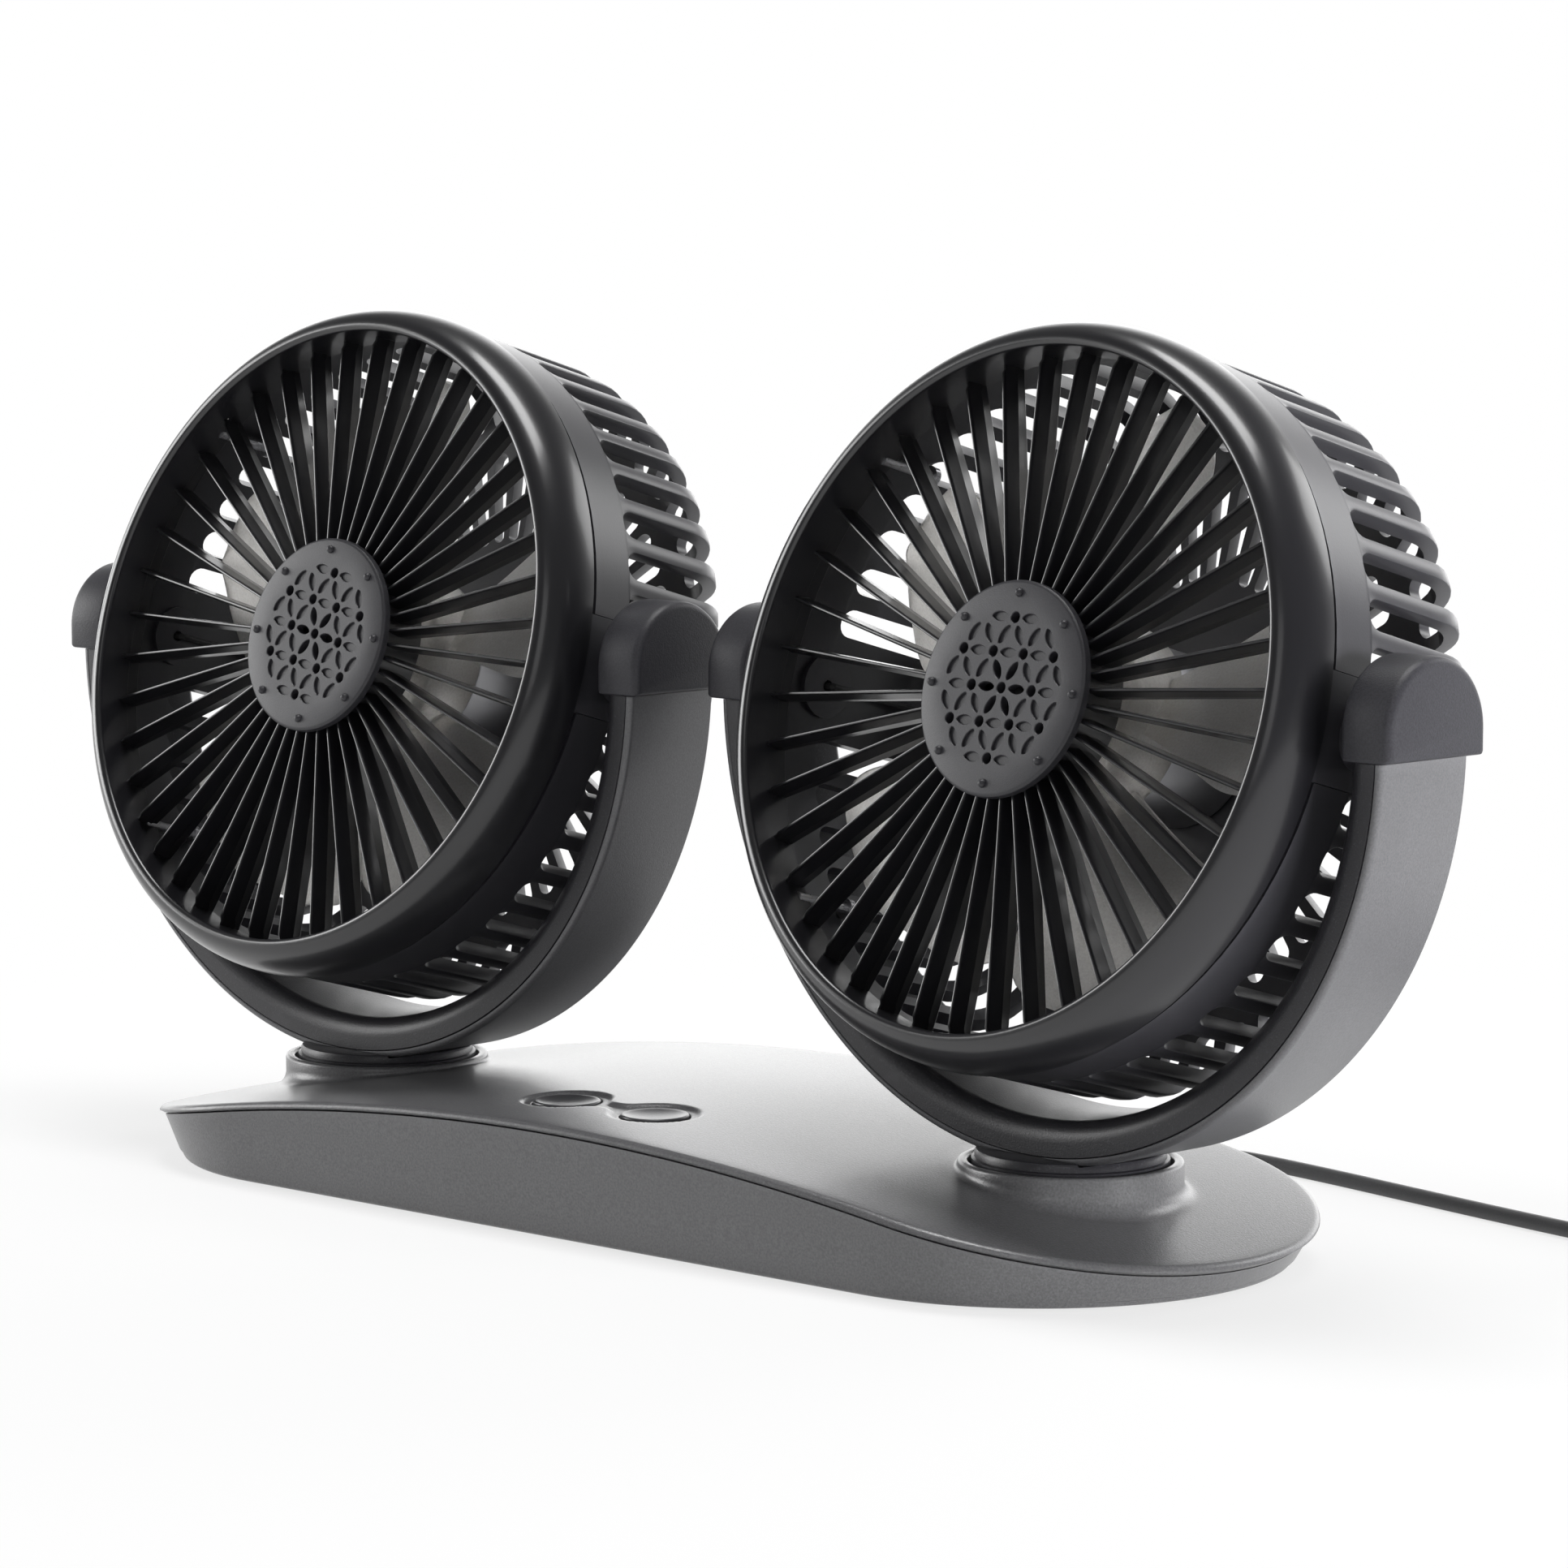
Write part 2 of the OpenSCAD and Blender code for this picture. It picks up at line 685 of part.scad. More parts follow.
// Lower half of a ring round the tilt axis, turned from a section of radius and depth
module half_ring(low) {
    intersection() {
        rotate([90, 0, 0]) rotate_extrude($fn = 180) children();
        translate([-cap_x, -yoke_w, -cap_x]) cube([2 * cap_x, 2 * yoke_w, cap_x + low]);
    }
}
// Section of the yoke's channel, open outwards, with its front edge rounded
module channel_section() {
    half = yoke_w / 2;
    width = seam_r - yoke_seam - yoke_in_r;
    difference() {
        union() {
            translate([yoke_in_r + yoke_round, -half]) square([width - yoke_round, yoke_w]);
            translate([yoke_in_r, -half + 1]) square([yoke_round + eps, yoke_w - yoke_round - 1]);
            translate([yoke_in_r + 1, -half]) square([yoke_round, 2]);
            translate([yoke_in_r + 1, -half + 1]) circle(r = 1, $fn = 32);
            intersection() {
                translate([yoke_in_r + yoke_round, half - yoke_round]) circle(r = yoke_round, $fn = 48);
                translate([yoke_in_r, 0]) square([yoke_round + eps, half]);
            }
        }
        translate([yoke_in_r + channel_t, -half + channel_t]) square([width, yoke_w - 2 * channel_t]);
    }
}
// Flat arm that rises from the ring's end into the pivot cap
module arm() {
    translate([arm_x0, 0, 0]) rotate([90, 0, 90]) linear_extrude(height = arm_x1 - arm_x0)
        union() {
            translate([-arm_half_w, -arm_low]) square([2 * arm_half_w, arm_low + cap_rise]);
            translate([0, cap_rise]) circle(r = arm_half_w);
        }
}
module yoke(side) {
    color(graphite)
    yoke_place(side)
        difference() {
            union() {
                half_ring(arm_end) channel_section();
                for (a = [0, 180]) rotate([0, 0, a])
                    intersection() {
                        arm();
                        union() {
                            translate([0, -cap_half_w, arm_end + 0.1]) cube([cap_x, 2 * cap_half_w, cap_x]);
                            rotate([90, 0, 0])
                                cylinder(r = seam_r - yoke_seam, h = yoke_w - 0.2, center = true,
                                         $fn = 180);
                        }
                    }
                intersection() {
                    for (sx = [-1, 1]) translate([sx * yoke_screw_x, 0, -yoke_in_r - 3])
                        cube([7, 7, 8], center = true);
                    rotate([90, 0, 0]) difference() {
                        cylinder(r = seam_r - yoke_seam, h = yoke_w, center = true, $fn = 180);
                        cylinder(r = yoke_in_r + 1, h = yoke_w + cut, center = true, $fn = 180);
                    }
                }
            }
            for (a = [0, 180]) rotate([0, 0, a]) {
                translate([arm_x0 - cut, 0, 0]) rotate([0, 90, 0]) cylinder(r = pin_r + pin_gap, h = 12);
                translate([arm_x0 - 4, 0, 0]) rotate([0, 90, 0]) cylinder(r = pin_boss_r + 0.4, h = 4);
            }
            for (sx = [-1, 1]) translate([sx * yoke_screw_x, 0, -yoke_out_r - cut])
                cylinder(r = screw_r, h = 5.4);
            translate([0, 0, -yoke_out_r - cut]) cylinder(r = spigot_hole_r - 0.4, h = 5.4);
            translate([-arm_x1 - cut, wire_y - wire_r - 0.2, -arm_low - cut])
                cube([cut + 1.7, 2 * wire_r + 0.4, arm_low + cut + 1]);
        }
}
module left_yoke() { yoke(left); }
module right_yoke() { yoke(right); }

module cover_section() {
    half = yoke_w / 2;
    round = cover_t - 0.1;
    union() {
        translate([seam_r, -half]) square([cover_t, yoke_w - round]);
        translate([seam_r, -half]) square([cover_t - round, yoke_w]);
        intersection() {
            translate([seam_r + cover_t - round, half - round]) circle(r = round, $fn = 32);
            translate([seam_r, 0]) square([cover_t + cut, half]);
        }
    }
}
module yoke_cover(side) {
    color(graphite)
    yoke_place(side)
        difference() {
            half_ring(arm_end) cover_section();
            for (sx = [-1, 1]) translate([sx * yoke_screw_x, 0, -yoke_out_r - cut])
                cylinder(r = screw_r + 0.15, h = 5);
            translate([0, 0, -yoke_out_r - cut]) cylinder(r = spigot_hole_r, h = 5);
        }
}
module left_yoke_cover() { yoke_cover(left); }
module right_yoke_cover() { yoke_cover(right); }

module yoke_screws(side) {
    top = pivot_h - yoke_out_r + 3;
    color(steel)
    swivel_place(side)
        for (sx = [-1, 1])
            translate([sx * yoke_screw_x, 0, turntable_bottom + 0.05])
                screw(screw_r - 0.02, 1.8, 0.8, top - turntable_bottom - 0.8);
}
module left_yoke_screws() { yoke_screws(left); }
module right_yoke_screws() { yoke_screws(right); }

// Upright rounded outline of a cap, thinned by an inset
module cap_outline(inset) {
    half = cap_half_w - inset;
    intersection() {
        union() {
            translate([-half, -cap_drop]) square([2 * half, cap_drop + cap_rise]);
            translate([0, cap_rise]) circle(r = half);
        }
        translate([-half - cut, -cap_drop]) square([2 * (half + cut), cap_drop + cap_rise + half + cut]);
    }
}
module cap() {
    soft = 0.5;
    difference() {
        rotate([90, 0, 90]) union() {
            translate([0, 0, cap_x - cap_len]) linear_extrude(height = cap_len - soft) cap_outline(0);
            translate([0, 0, cap_x - cap_len]) linear_extrude(height = cap_len) cap_outline(soft);
        }
        rotate([90, 0, 90]) translate([0, -cut, cap_x - cap_len + cap_t])
            linear_extrude(height = cap_len - 2 * cap_t - 0.3)
                union() {
                    cap_outline(cap_t);
                    translate([0, cut]) cap_outline(cap_t);
                }
        translate([cap_x - cap_len - cut, 0, 0]) rotate([0, 90, 0])
            cylinder(r = pin_boss_r + 0.4, h = cap_t + 2 * cut);
        translate([cap_x - cap_len - cut, -pin_boss_r - 0.4, -cap_drop - cut])
            cube([cap_t + 2 * cut, 2 * pin_boss_r + 0.8, cap_drop + cut]);
    }
}
module pivot_caps(side) {
    color(graphite)
    yoke_place(side)
        for (a = [0, 180]) rotate([0, 0, a]) cap();
}
module left_pivot_caps() { pivot_caps(left); }
module right_pivot_caps() { pivot_caps(right); }

// Lead from the hollow pin's end, down the arm's groove and the yoke's channel, to the spigot
wire_x = pin_end + clip_t + wire_r + 0.3;
function track(a, y) = [-wire_track_r * cos(a), y, -wire_track_r * sin(a)];
yoke_wire_points = [
    [-wire_x, 0, 0], [-wire_x, 2.5, 0], [-wire_x + 0.2, 5, -0.2], [-wire_x + 0.9, wire_y, -1.2],
    track(3.6, wire_y), track(8, wire_y), track(15, wire_y), track(26, 5), track(40, 5),
    track(60, 5), track(75, 5), [-6, 4, -wire_track_r], [-1.4, 0.8, -wire_track_r - 0.9],
    [0, 0, -wire_track_r - 4], [0, 0, spigot_bottom + 1 - pivot_h]];
yoke_wire_steps = [1, 2, 2, 2, 1, 2, 3, 3, 4, 3, 4, 3, 3, 1];
module yoke_wire(side) {
    color(wire_red)
    yoke_place(side) tube(route(yoke_wire_points, yoke_wire_steps), wire_r, 8, [1, -1, 0.4]);
}
module left_yoke_wire() { yoke_wire(left); }
module right_yoke_wire() { yoke_wire(right); }

// Front ring with its fins and the cup that carries the hub plate
module bezel_section() {
    n = 10;
    depth = bezel_front - seam_z - 0.6;
    wide = head_r - lip_r;
    inner = 0.8;
    polygon([
        [head_r, seam_z],
        for (k = [0:n]) let (a = 90 * k / n) [lip_r + wide * cos(a), seam_z + 0.6 + depth * sin(a)],
        for (k = [1:4]) let (a = 90 * k / 4)
            [bezel_in_r + inner * (1 - sin(a)), bezel_front - inner * (1 - cos(a))],
        [bezel_in_r, wall_rear],
        [bezel_in_r + 1.2, wall_rear],
        [bezel_in_r + 1.2, seam_z + 3.4],
        [housing_in_r, seam_z + 3],
        [housing_in_r, skirt_rear],
        [housing_in_r + lap_t, skirt_rear],
        [housing_in_r + lap_t, seam_z]]);
}
module fin() {
    from_r = cup_r - 1;
    to_r = bezel_in_r + 0.5;
    rotate([90, 0, 0]) {
        translate([0, 0, -fin_t / 2]) linear_extrude(height = fin_t)
            polygon([[from_r, fin_front_in], [to_r, fin_front_out],
                     [to_r, fin_front_out - fin_step], [from_r, fin_front_in - fin_step]]);
        translate([0, 0, -fin_t * 0.35]) linear_extrude(height = fin_t * 0.7)
            polygon([[from_r, fin_front_in - 1], [to_r, fin_front_out - 1],
                     [to_r, fin_rear], [from_r, fin_rear]]);
    }
}
module grille(side) {
    turn = side < 0 ? 2.6 : 0;
    color(black)
    head_place(side)
        difference() {
            union() {
                rotate([0, 0, turn]) {
                    rotate_extrude($fn = 180) bezel_section();
                    for (k = [0:fin_count - 1]) rotate([0, 0, 90 + 360 * k / fin_count]) fin();
                    translate([0, 0, cup_back]) cylinder(r = cup_r, h = plate_z - plate_t - cup_back);
                }
                for (a = head_screw_angles) rotate([0, 0, a]) translate([head_screw_r, 0, post_rear])
                    cylinder(r = head_post_r, h = post_front - post_rear);
            }
            rotate([0, 0, turn]) translate([0, 0, cup_back - cut])
                cylinder(r = cup_r - cup_t, h = plate_z - plate_t - cup_back + 2 * cut);
            for (a = head_screw_angles) rotate([0, 0, a])
                translate([head_screw_r, 0, post_rear - cut])
                    cylinder(r = 0.8, h = post_front - 0.8 - post_rear + cut);
        }
}
module left_grille() { grille(left); }
module right_grille() { grille(right); }

// Points of a hexagon two steps wide, and the links between neighbours
hex_nodes = [for (i = [-2:2], j = [-2:2]) if (abs(i + j) <= 2) [i, j]];
function hex_xy(p) = lattice * [p[0] + p[1] / 2, p[1] * sqrt(3) / 2];
function inside(p) = abs(p[0]) <= 2 && abs(p[1]) <= 2 && abs(p[0] + p[1]) <= 2;
link_steps = [[1, 0], [0, 1], [-1, 1]];
module petal(depth) {
    n = 12;
    linear_extrude(height = depth)
        polygon([for (k = [0:n - 1]) [petal_len * cos(360 * k / n), petal_wid * sin(360 * k / n)]]);
}
module hub_plate(side) {
    turn = side < 0 ? -10.8 : -0.8;
    chamfer = 0.5;
    color(graphite)
    head_place(side) rotate([0, 0, turn])
        difference() {
            union() {
                translate([0, 0, plate_z - plate_t]) cylinder(r = plate_r, h = plate_t - chamfer);
                translate([0, 0, plate_z - chamfer])
                    cylinder(r1 = plate_r, r2 = plate_r - chamfer, h = chamfer);
                translate([0, 0, plate_z - plate_t - 2]) difference() {
                    cylinder(r = cup_r - cup_t - 0.05, h = 2 + eps);
                    translate([0, 0, -cut]) cylinder(r = cup_r - cup_t - 1, h = 2 + cut);
                }
            }
            for (p = hex_nodes)
                if (norm(hex_xy(p)) < 1.9 * lattice)
                    translate([hex_xy(p)[0], hex_xy(p)[1], plate_z - plate_t - cut])
                        cylinder(r = lattice_hole_r, h = plate_t + 2 * cut, $fn = 24);
            for (p = hex_nodes, s = link_steps)
                if (inside(p + s)) {
                    m = (hex_xy(p) + hex_xy(p + s)) / 2;
                    through = norm(m) < 0.6 * lattice;
                    depth = through ? plate_t + cut : blind_depth;
                    translate([m[0], m[1], plate_z - depth])
                        rotate([0, 0, atan2(hex_xy(s)[1], hex_xy(s)[0])]) petal(depth + cut);
                }
            for (k = [0:7]) rotate([0, 0, 45 * k - turn])
                translate([rivet_circle_r, 0, plate_z - plate_t - cut])
                    cylinder(r = rivet_r * 0.6, h = plate_t + 2 * cut, $fn = 24);
        }
}
module left_hub_plate() { hub_plate(left); }
module right_hub_plate() { hub_plate(right); }

module hub_rivets(side) {
    color(graphite)
    head_place(side)
        for (k = [0:7]) rotate([0, 0, 45 * k]) translate([rivet_circle_r, 0, plate_z]) {
            intersection() {
                sphere(r = rivet_r, $fn = 24);
                cylinder(r = 2, h = 2);
            }
            translate([0, 0, -plate_t]) cylinder(r = rivet_r * 0.6 - 0.02, h = plate_t + eps, $fn = 24);
        }
}
module left_hub_rivets() { hub_rivets(left); }
module right_hub_rivets() { hub_rivets(right); }

module drum(r, back, corner, front) {
    rotate_extrude($fn = 180)
        union() {
            translate([0, -back + corner]) square([r, back - corner + front]);
            translate([0, -back]) square([r - corner, corner + eps]);
            translate([r - corner, -back + corner]) circle(r = corner, $fn = 96);
        }
}
module slot_cutter() {
    side_from = housing_r - corner_r + 2;
    rotate([90, 0, 90]) translate([0, 0, side_from]) linear_extrude(height = corner_r + 6)
        union() {
            translate([-slot_w / 2, -housing_back + corner_r - cut])
                square([slot_w, housing_back - corner_r + cut + slot_front - slot_w / 2]);
            translate([0, slot_front - slot_w / 2]) circle(r = slot_w / 2, $fn = 32);
        }
    slot_wedge(ring_out_r, housing_r + 3, corner_r);
}
// Cutter that widens away from the head's axis
module slot_wedge(from_r, to_r, depth) {
    half = slot_w / 2 / housing_r;
    translate([0, 0, -housing_back - cut]) linear_extrude(height = depth + cut)
        polygon([[from_r, -half * from_r], [to_r, -half * to_r],
                 [to_r, half * to_r], [from_r, half * from_r]]);
}
module pad_zone(grow, outer, inner) {
    tall = pad_front - pad_back + 2 * grow;
    intersection() {
        translate([0, 0, pad_back - grow]) difference() {
            cylinder(r = outer, h = tall, $fn = 180);
            translate([0, 0, -cut]) cylinder(r = inner, h = tall + 2 * cut, $fn = 180);
        }
        translate([inner / 2, -pad_half_w - grow, pad_back - grow])
            cube([outer, 2 * (pad_half_w + grow), tall]);
    }
}
module housing(side) {
    color(graphite)
    head_place(side)
        difference() {
            union() {
                difference() {
                    drum(housing_r, housing_back, corner_r, seam_z - 0.1);
                    drum(housing_in_r, housing_back - housing_t, corner_r - housing_t, seam_z + cut);
                }
                for (a = head_screw_angles) rotate([0, 0, a]) {
                    translate([head_screw_r, 0, head_post_back])
                        cylinder(r = head_post_r, h = post_rear - post_seam - head_post_back);
                    translate([head_screw_r, -head_post_r, head_post_back])
                        cube([housing_r - 0.6 - head_screw_r, 2 * head_post_r,
                              post_rear - post_seam - head_post_back]);
                }
                for (a = [0, 180]) rotate([0, 0, a])
                    translate([pin_root, -pad_half_w, pad_back])
                        cube([housing_r - pin_root - pad_inset - 0.2, 2 * pad_half_w,
                              block_front - pad_back]);
            }
            for (k = [1:slot_count - 2])
                if (k % (slot_count / 2) != 0 && k % (slot_count / 2) != slot_count / 2 - 1)
                    rotate([0, 0, (k + 0.5) * slot_step]) slot_cutter();
            for (k = [0:slot_count - 1])
                rotate([0, 0, (k + 0.5) * slot_step]) slot_wedge(back_disc_r, ring_in_r, housing_t + cut);
            for (a = [0, 180]) rotate([0, 0, a]) {
                pad_zone(pad_gap, housing_r + 2, housing_r - pad_inset);
                translate([pin_root - cut, 0, 0]) rotate([0, 90, 0])
                    cylinder(r = pin_boss_r + 0.05, h = 12);
            }
            for (k = [0:1]) rotate([0, 0, 180 * k]) translate([motor_screw_circle, 0, -housing_back - cut])
                cylinder(r = 1.1, h = housing_t + 2 * cut);
            for (a = head_screw_angles) rotate([0, 0, a]) translate([head_screw_r, 0, -5])
                cylinder(r = 1, h = post_rear + 6);
            translate([0, 0, skirt_rear - lap_gap])
                cylinder(r = housing_in_r + lap_t + lap_gap, h = 5, $fn = 180);
        }
}
module left_housing() { housing(left); }
module right_housing() { housing(right); }

module housing_screws(side) {
    color(steel)
    head_place(side)
        for (a = head_screw_angles) rotate([0, 0, a]) translate([head_screw_r, 0, head_post_back - 1.02])
            screw(0.78, 1.5, 1, post_front - 1.2 - head_post_back);
}
module left_housing_screws() { housing_screws(left); }
module right_housing_screws() { housing_screws(right); }

// Pads that close the housing's sides and carry the pivot pins
module pivot_pads(side) {
    color(graphite)
    head_place(side)
        for (a = [0, 180]) rotate([0, 0, a])
            difference() {
                union() {
                    pad_zone(0, housing_r, housing_r - pad_inset + 0.1);
                    translate([pin_root, 0, 0]) rotate([0, 90, 0])
                        cylinder(r = pin_boss_r, h = arm_x0 - 0.25 - pin_root);
                    translate([pin_root, 0, 0]) rotate([0, 90, 0])
                        cylinder(r = pin_r, h = pin_end - pin_root);
                }
                translate([pin_root - cut, 0, 0]) rotate([0, 90, 0])
                    cylinder(r = a == 0 ? pivot_screw_r + 0.02 : wire_r + 0.4,
                             h = pin_end - pin_root + 2 * cut);
            }
}
module left_pivot_pads() { pivot_pads(left); }
module right_pivot_pads() { pivot_pads(right); }

// Washer screw in the right-hand pin and spring clip on the hollow left-hand pin
module pivot_screws(side) {
    color(steel)
    head_place(side) {
        translate([pin_end + 0.02, 0, 0]) rotate([0, 90, 0]) cylinder(r = clip_r, h = clip_t);
        translate([pin_root + 2, 0, 0]) rotate([0, 90, 0])
            cylinder(r = pivot_screw_r, h = pin_end - pin_root - 1.9);
        translate([-pin_end - 0.02 - clip_t, 0, 0]) rotate([0, 90, 0])
            difference() {
                cylinder(r = clip_r, h = clip_t);
                translate([0, 0, -cut]) cylinder(r = wire_r + 0.5, h = clip_t + 2 * cut);
            }
    }
}
module left_pivot_screws() { pivot_screws(left); }
module right_pivot_screws() { pivot_screws(right); }

module motor(side) {
    bearing_r = 3;
    color(steel)
    head_place(side)
        difference() {
            union() {
                translate([0, 0, motor_seat]) cylinder(r = motor_r, h = motor_len - can_round);
                translate([0, 0, motor_seat]) cylinder(r = motor_r - can_round, h = motor_len);
                translate([0, 0, motor_front - can_round]) rotate_extrude()
                    translate([motor_r - can_round, 0]) circle(r = can_round, $fn = 32);
                translate([0, 0, motor_front - eps]) cylinder(r = bearing_r, h = 0.5);
            }
            translate([0, 0, motor_seat + 3]) cylinder(r = shaft_r + 0.04, h = motor_len);
            for (k = [0:1]) rotate([0, 0, 180 * k]) translate([motor_screw_circle, 0, motor_seat - cut])
                cylinder(r = 0.9, h = 5);
        }
}
module left_motor() { motor(left); }
module right_motor() { motor(right); }

module motor_screws(side) {
    color(steel)
    head_place(side)
        for (k = [0:1]) rotate([0, 0, 180 * k])
            translate([motor_screw_circle, 0, -housing_back - 0.9])
                screw(0.88, 1.8, 0.9, housing_t + 3);
}
module left_motor_screws() { motor_screws(left); }
module right_motor_screws() { motor_screws(right); }

// Lead from the hollow pin down inside the housing's back to the motor
module head_wire(side) {
    low = motor_seat + wire_r + 0.1;
    color(wire_red)
    head_place(side)
        tube(route([[-pin_end - clip_t, 0, 0], [-pin_root - 1, 0, 0], [-pin_root + 0.9, 0, -1.6],
                    [-pin_root + 1, 0, pad_back - 1], [-pin_root + 1.6, 0, bend_z + 1.8],
                    [-bend_x - bend_r * cos(55), 0, bend_z - bend_r * sin(55)],
                    [1 - bend_x, 0, low], [5 - bend_x, 0, low], [-motor_r - 0.05, 0, low]],
                   [3, 3, 2, 2, 3, 3, 1, 1]), wire_r, 8, [0, 1, 0]);
}
module left_head_wire() { head_wire(left); }
module right_head_wire() { head_wire(right); }

// One rounded, pitched blade as a closed sheet of even thickness
function blade_point(u, v, lift) =
    let (r = blade_root + u * (rotor_r - blade_root),
         half = (blade_half_root + (blade_half_tip - blade_half_root) * u) * sqrt(max(1 - pow(u, 6), 0.02)),
         a = half * v,
         pitch = blade_pitch * (1.25 - 0.25 * u))
    [r * cos(a), r * sin(a), blade_mid_z + lift - r * sin(a) * tan(pitch) + 2.2 * (1 - v * v) * u];
module blade() {
    nu = blade_steps_r;
    nv = blade_steps_a;
    row = nv + 1;
    all = (nu + 1) * row;
    polyhedron(
        points = [for (lift = [-blade_t / 2, blade_t / 2], i = [0:nu], j = [0:nv])
                      blade_point(i / nu, 2 * j / nv - 1, lift)],
        faces = [
            for (i = [0:nu - 1], j = [0:nv - 1]) let (a = i * row + j)
                each [[a, a + row, a + 1], [a + 1, a + row, a + row + 1],
                      [all + a, all + a + 1, all + a + row],
                      [all + a + 1, all + a + row + 1, all + a + row]],
            for (i = [0:nu - 1]) let (a = i * row, b = a + nv)
                each [[a, all + a, a + row], [a + row, all + a, all + a + row],
                      [b, b + row, all + b], [b + row, all + b + row, all + b]],
            for (j = [0:nv - 1]) let (a = j, b = nu * row + j)
                each [[a, a + 1, all + a], [a + 1, all + a + 1, all + a],
                      [b, all + b, b + 1], [b + 1, all + b, all + b + 1]]],
        convexity = 4);
}
module rotor(side) {
    turn = side < 0 ? 20 : 8;
    color(blade_grey)
    head_place(side) rotate([0, 0, turn]) {
        difference() {
            union() {
                translate([0, 0, hub_back]) cylinder(r = hub_r, h = hub_len - 2);
                translate([0, 0, hub_front - 2 - eps]) cylinder(r1 = hub_r, r2 = hub_r - 2, h = 2 + eps);
                for (k = [0:blade_count - 1]) rotate([0, 0, 360 * k / blade_count]) blade();
            }
            translate([0, 0, hub_back - cut]) cylinder(r = hub_r - 2, h = hub_len - 2 + cut);
            translate([0, 0, hub_back - cut]) cylinder(r = shaft_r + 0.02, h = hub_len + 2 * cut);
        }
        difference() {
            translate([0, 0, hub_back]) cylinder(r = 3.2, h = hub_len - 1.8);
            translate([0, 0, hub_back - cut]) cylinder(r = shaft_r + 0.02, h = hub_len + 2 * cut);
        }
    }
}
module left_rotor() { rotor(left); }
module right_rotor() { rotor(right); }

module rotor_shaft(side) {
    color(steel)
    head_place(side)
        translate([0, 0, motor_seat + 3.2]) cylinder(r = shaft_r, h = hub_front + 1.6 - motor_seat - 3.2);
}
module left_rotor_shaft() { rotor_shaft(left); }
module right_rotor_shaft() { rotor_shaft(right); }

module rotor_nut(side) {
    color(black)
    head_place(side)
        translate([0, 0, hub_front + 0.02]) difference() {
            cylinder(r = nut_face_r, h = 1.4);
            translate([0, 0, -cut]) cylinder(r = shaft_r + 0.02, h = 4);
        }
}
module left_rotor_nut() { rotor_nut(left); }
module right_rotor_nut() { rotor_nut(right); }

module cord_grommet() {
    color(black)
    translate([outlet_x, 0, outlet_h]) rotate([-90, 0, 0])
        difference() {
            union() {
                translate([0, 0, grommet_in]) cylinder(r = cord_r + 1.3, h = 7);
                translate([0, 0, grommet_in]) cylinder(r = cord_r + 1.9, h = 1.4);
                translate([0, 0, grommet_in + 7 - eps])
                    cylinder(r1 = cord_r + 1.3, r2 = cord_r + 0.5, h = grommet_out - grommet_in - 7 + eps);
            }
            translate([0, 0, grommet_in - cut]) cylinder(r = cord_r + 0.3, h = 4);
        }
}
module cord_lead() {
    color(black) tube(route(lead_points, lead_steps), cord_r, 8);
}
// Loops that spiral in and out again and climb a layer where they turn back
function coil_radius(t) =
    let (layer = floor(t / coil_turns), u = t - layer * coil_turns)
    coil_out_r - coil_step * (layer % 2 == 0 ? u : coil_turns - u);
function coil_climb(t) =
    let (near = round(t / coil_turns), d = t - near * coil_turns)
    near <= 0 || near >= coil_layers || abs(d) > 0.25
        ? floor(t / coil_turns + (t >= coil_layers * coil_turns ? -0.5 : 0))
        : near - 1 + (d + 0.25) / 0.5;
function coil_point(t) =
    let (a = heading - 90 + 360 * t)
    [coil_centre[0] + coil_radius(t) * cos(a), coil_centre[1] + coil_radius(t) * sin(a),
     coil_base + cord_r + coil_step * coil_climb(t)];
coil_loops = coil_layers * coil_turns;
coil_rings = 24;
coil_path = [
    [coil_start[0], coil_start[1], coil_base + cord_r],
    for (k = [0:coil_loops * coil_rings]) coil_point(k / coil_rings),
    [tail_start[0], tail_start[1], coil_top]];
module cord_coil() {
    color(black) tube(coil_path, cord_r, 6);
}
least_gap = min([for (i = [0:2:len(coil_path) - 1], j = [i + coil_rings / 2:len(coil_path) - 1])
                     norm(coil_path[i] - coil_path[j])]) - cord_d;
echo(least_coil_gap = least_gap, loops = coil_loops);

function along(p, d, z) = [p[0] + d * cos(heading), p[1] + d * sin(heading), z];
module cord_tail() {
    p = [along(tail_start, 0, coil_top), along(tail_start, 1.2, coil_top),
         along(tail_start, 0.35 * tail_run, coil_top - 2), along(tail_start, 0.7 * tail_run, plug_z + 1.2),
         along(plug_start, -1.2, plug_z), along(plug_start, 0, plug_z)];
    color(black) tube(route(p, [1, 3, 3, 3, 1]), cord_r, 8);
}
// Strap round the loops on the side away from the lead
module cord_tie() {
    low_r = coil_out_r - coil_turns * coil_step - cord_r - 0.3;
    high_r = coil_out_r + cord_r + 0.3;
    top = coil_top + cord_r + 0.2;
    color(black)
    translate([coil_centre[0], coil_centre[1], 0]) rotate([0, 0, heading + 90])
        translate([0, -tie_w / 2, 0])
            difference() {
                translate([low_r - tie_t, 0, 0]) cube([high_r - low_r + 2 * tie_t, tie_w, top + tie_t]);
                translate([low_r, -cut, tie_t]) cube([high_r - low_r, tie_w + 2 * cut, top - tie_t]);
            }
}
module plug_place() {
    translate([plug_start[0], plug_start[1], 0]) rotate([0, 0, heading]) children();
}
module usb_plug_body() {
    color(black) plug_place()
        union() {
            translate([0, 0, plug_z]) rotate([0, 90, 0]) cylinder(r1 = cord_r + 0.8, r2 = 3.2, h = 6);
            translate([5, -plug_w / 2 + 1, 0]) cube([plug_len - 5, plug_w - 2, plug_h]);
            translate([5, -plug_w / 2, 1]) cube([plug_len - 5, plug_w, plug_h - 2]);
        }
}
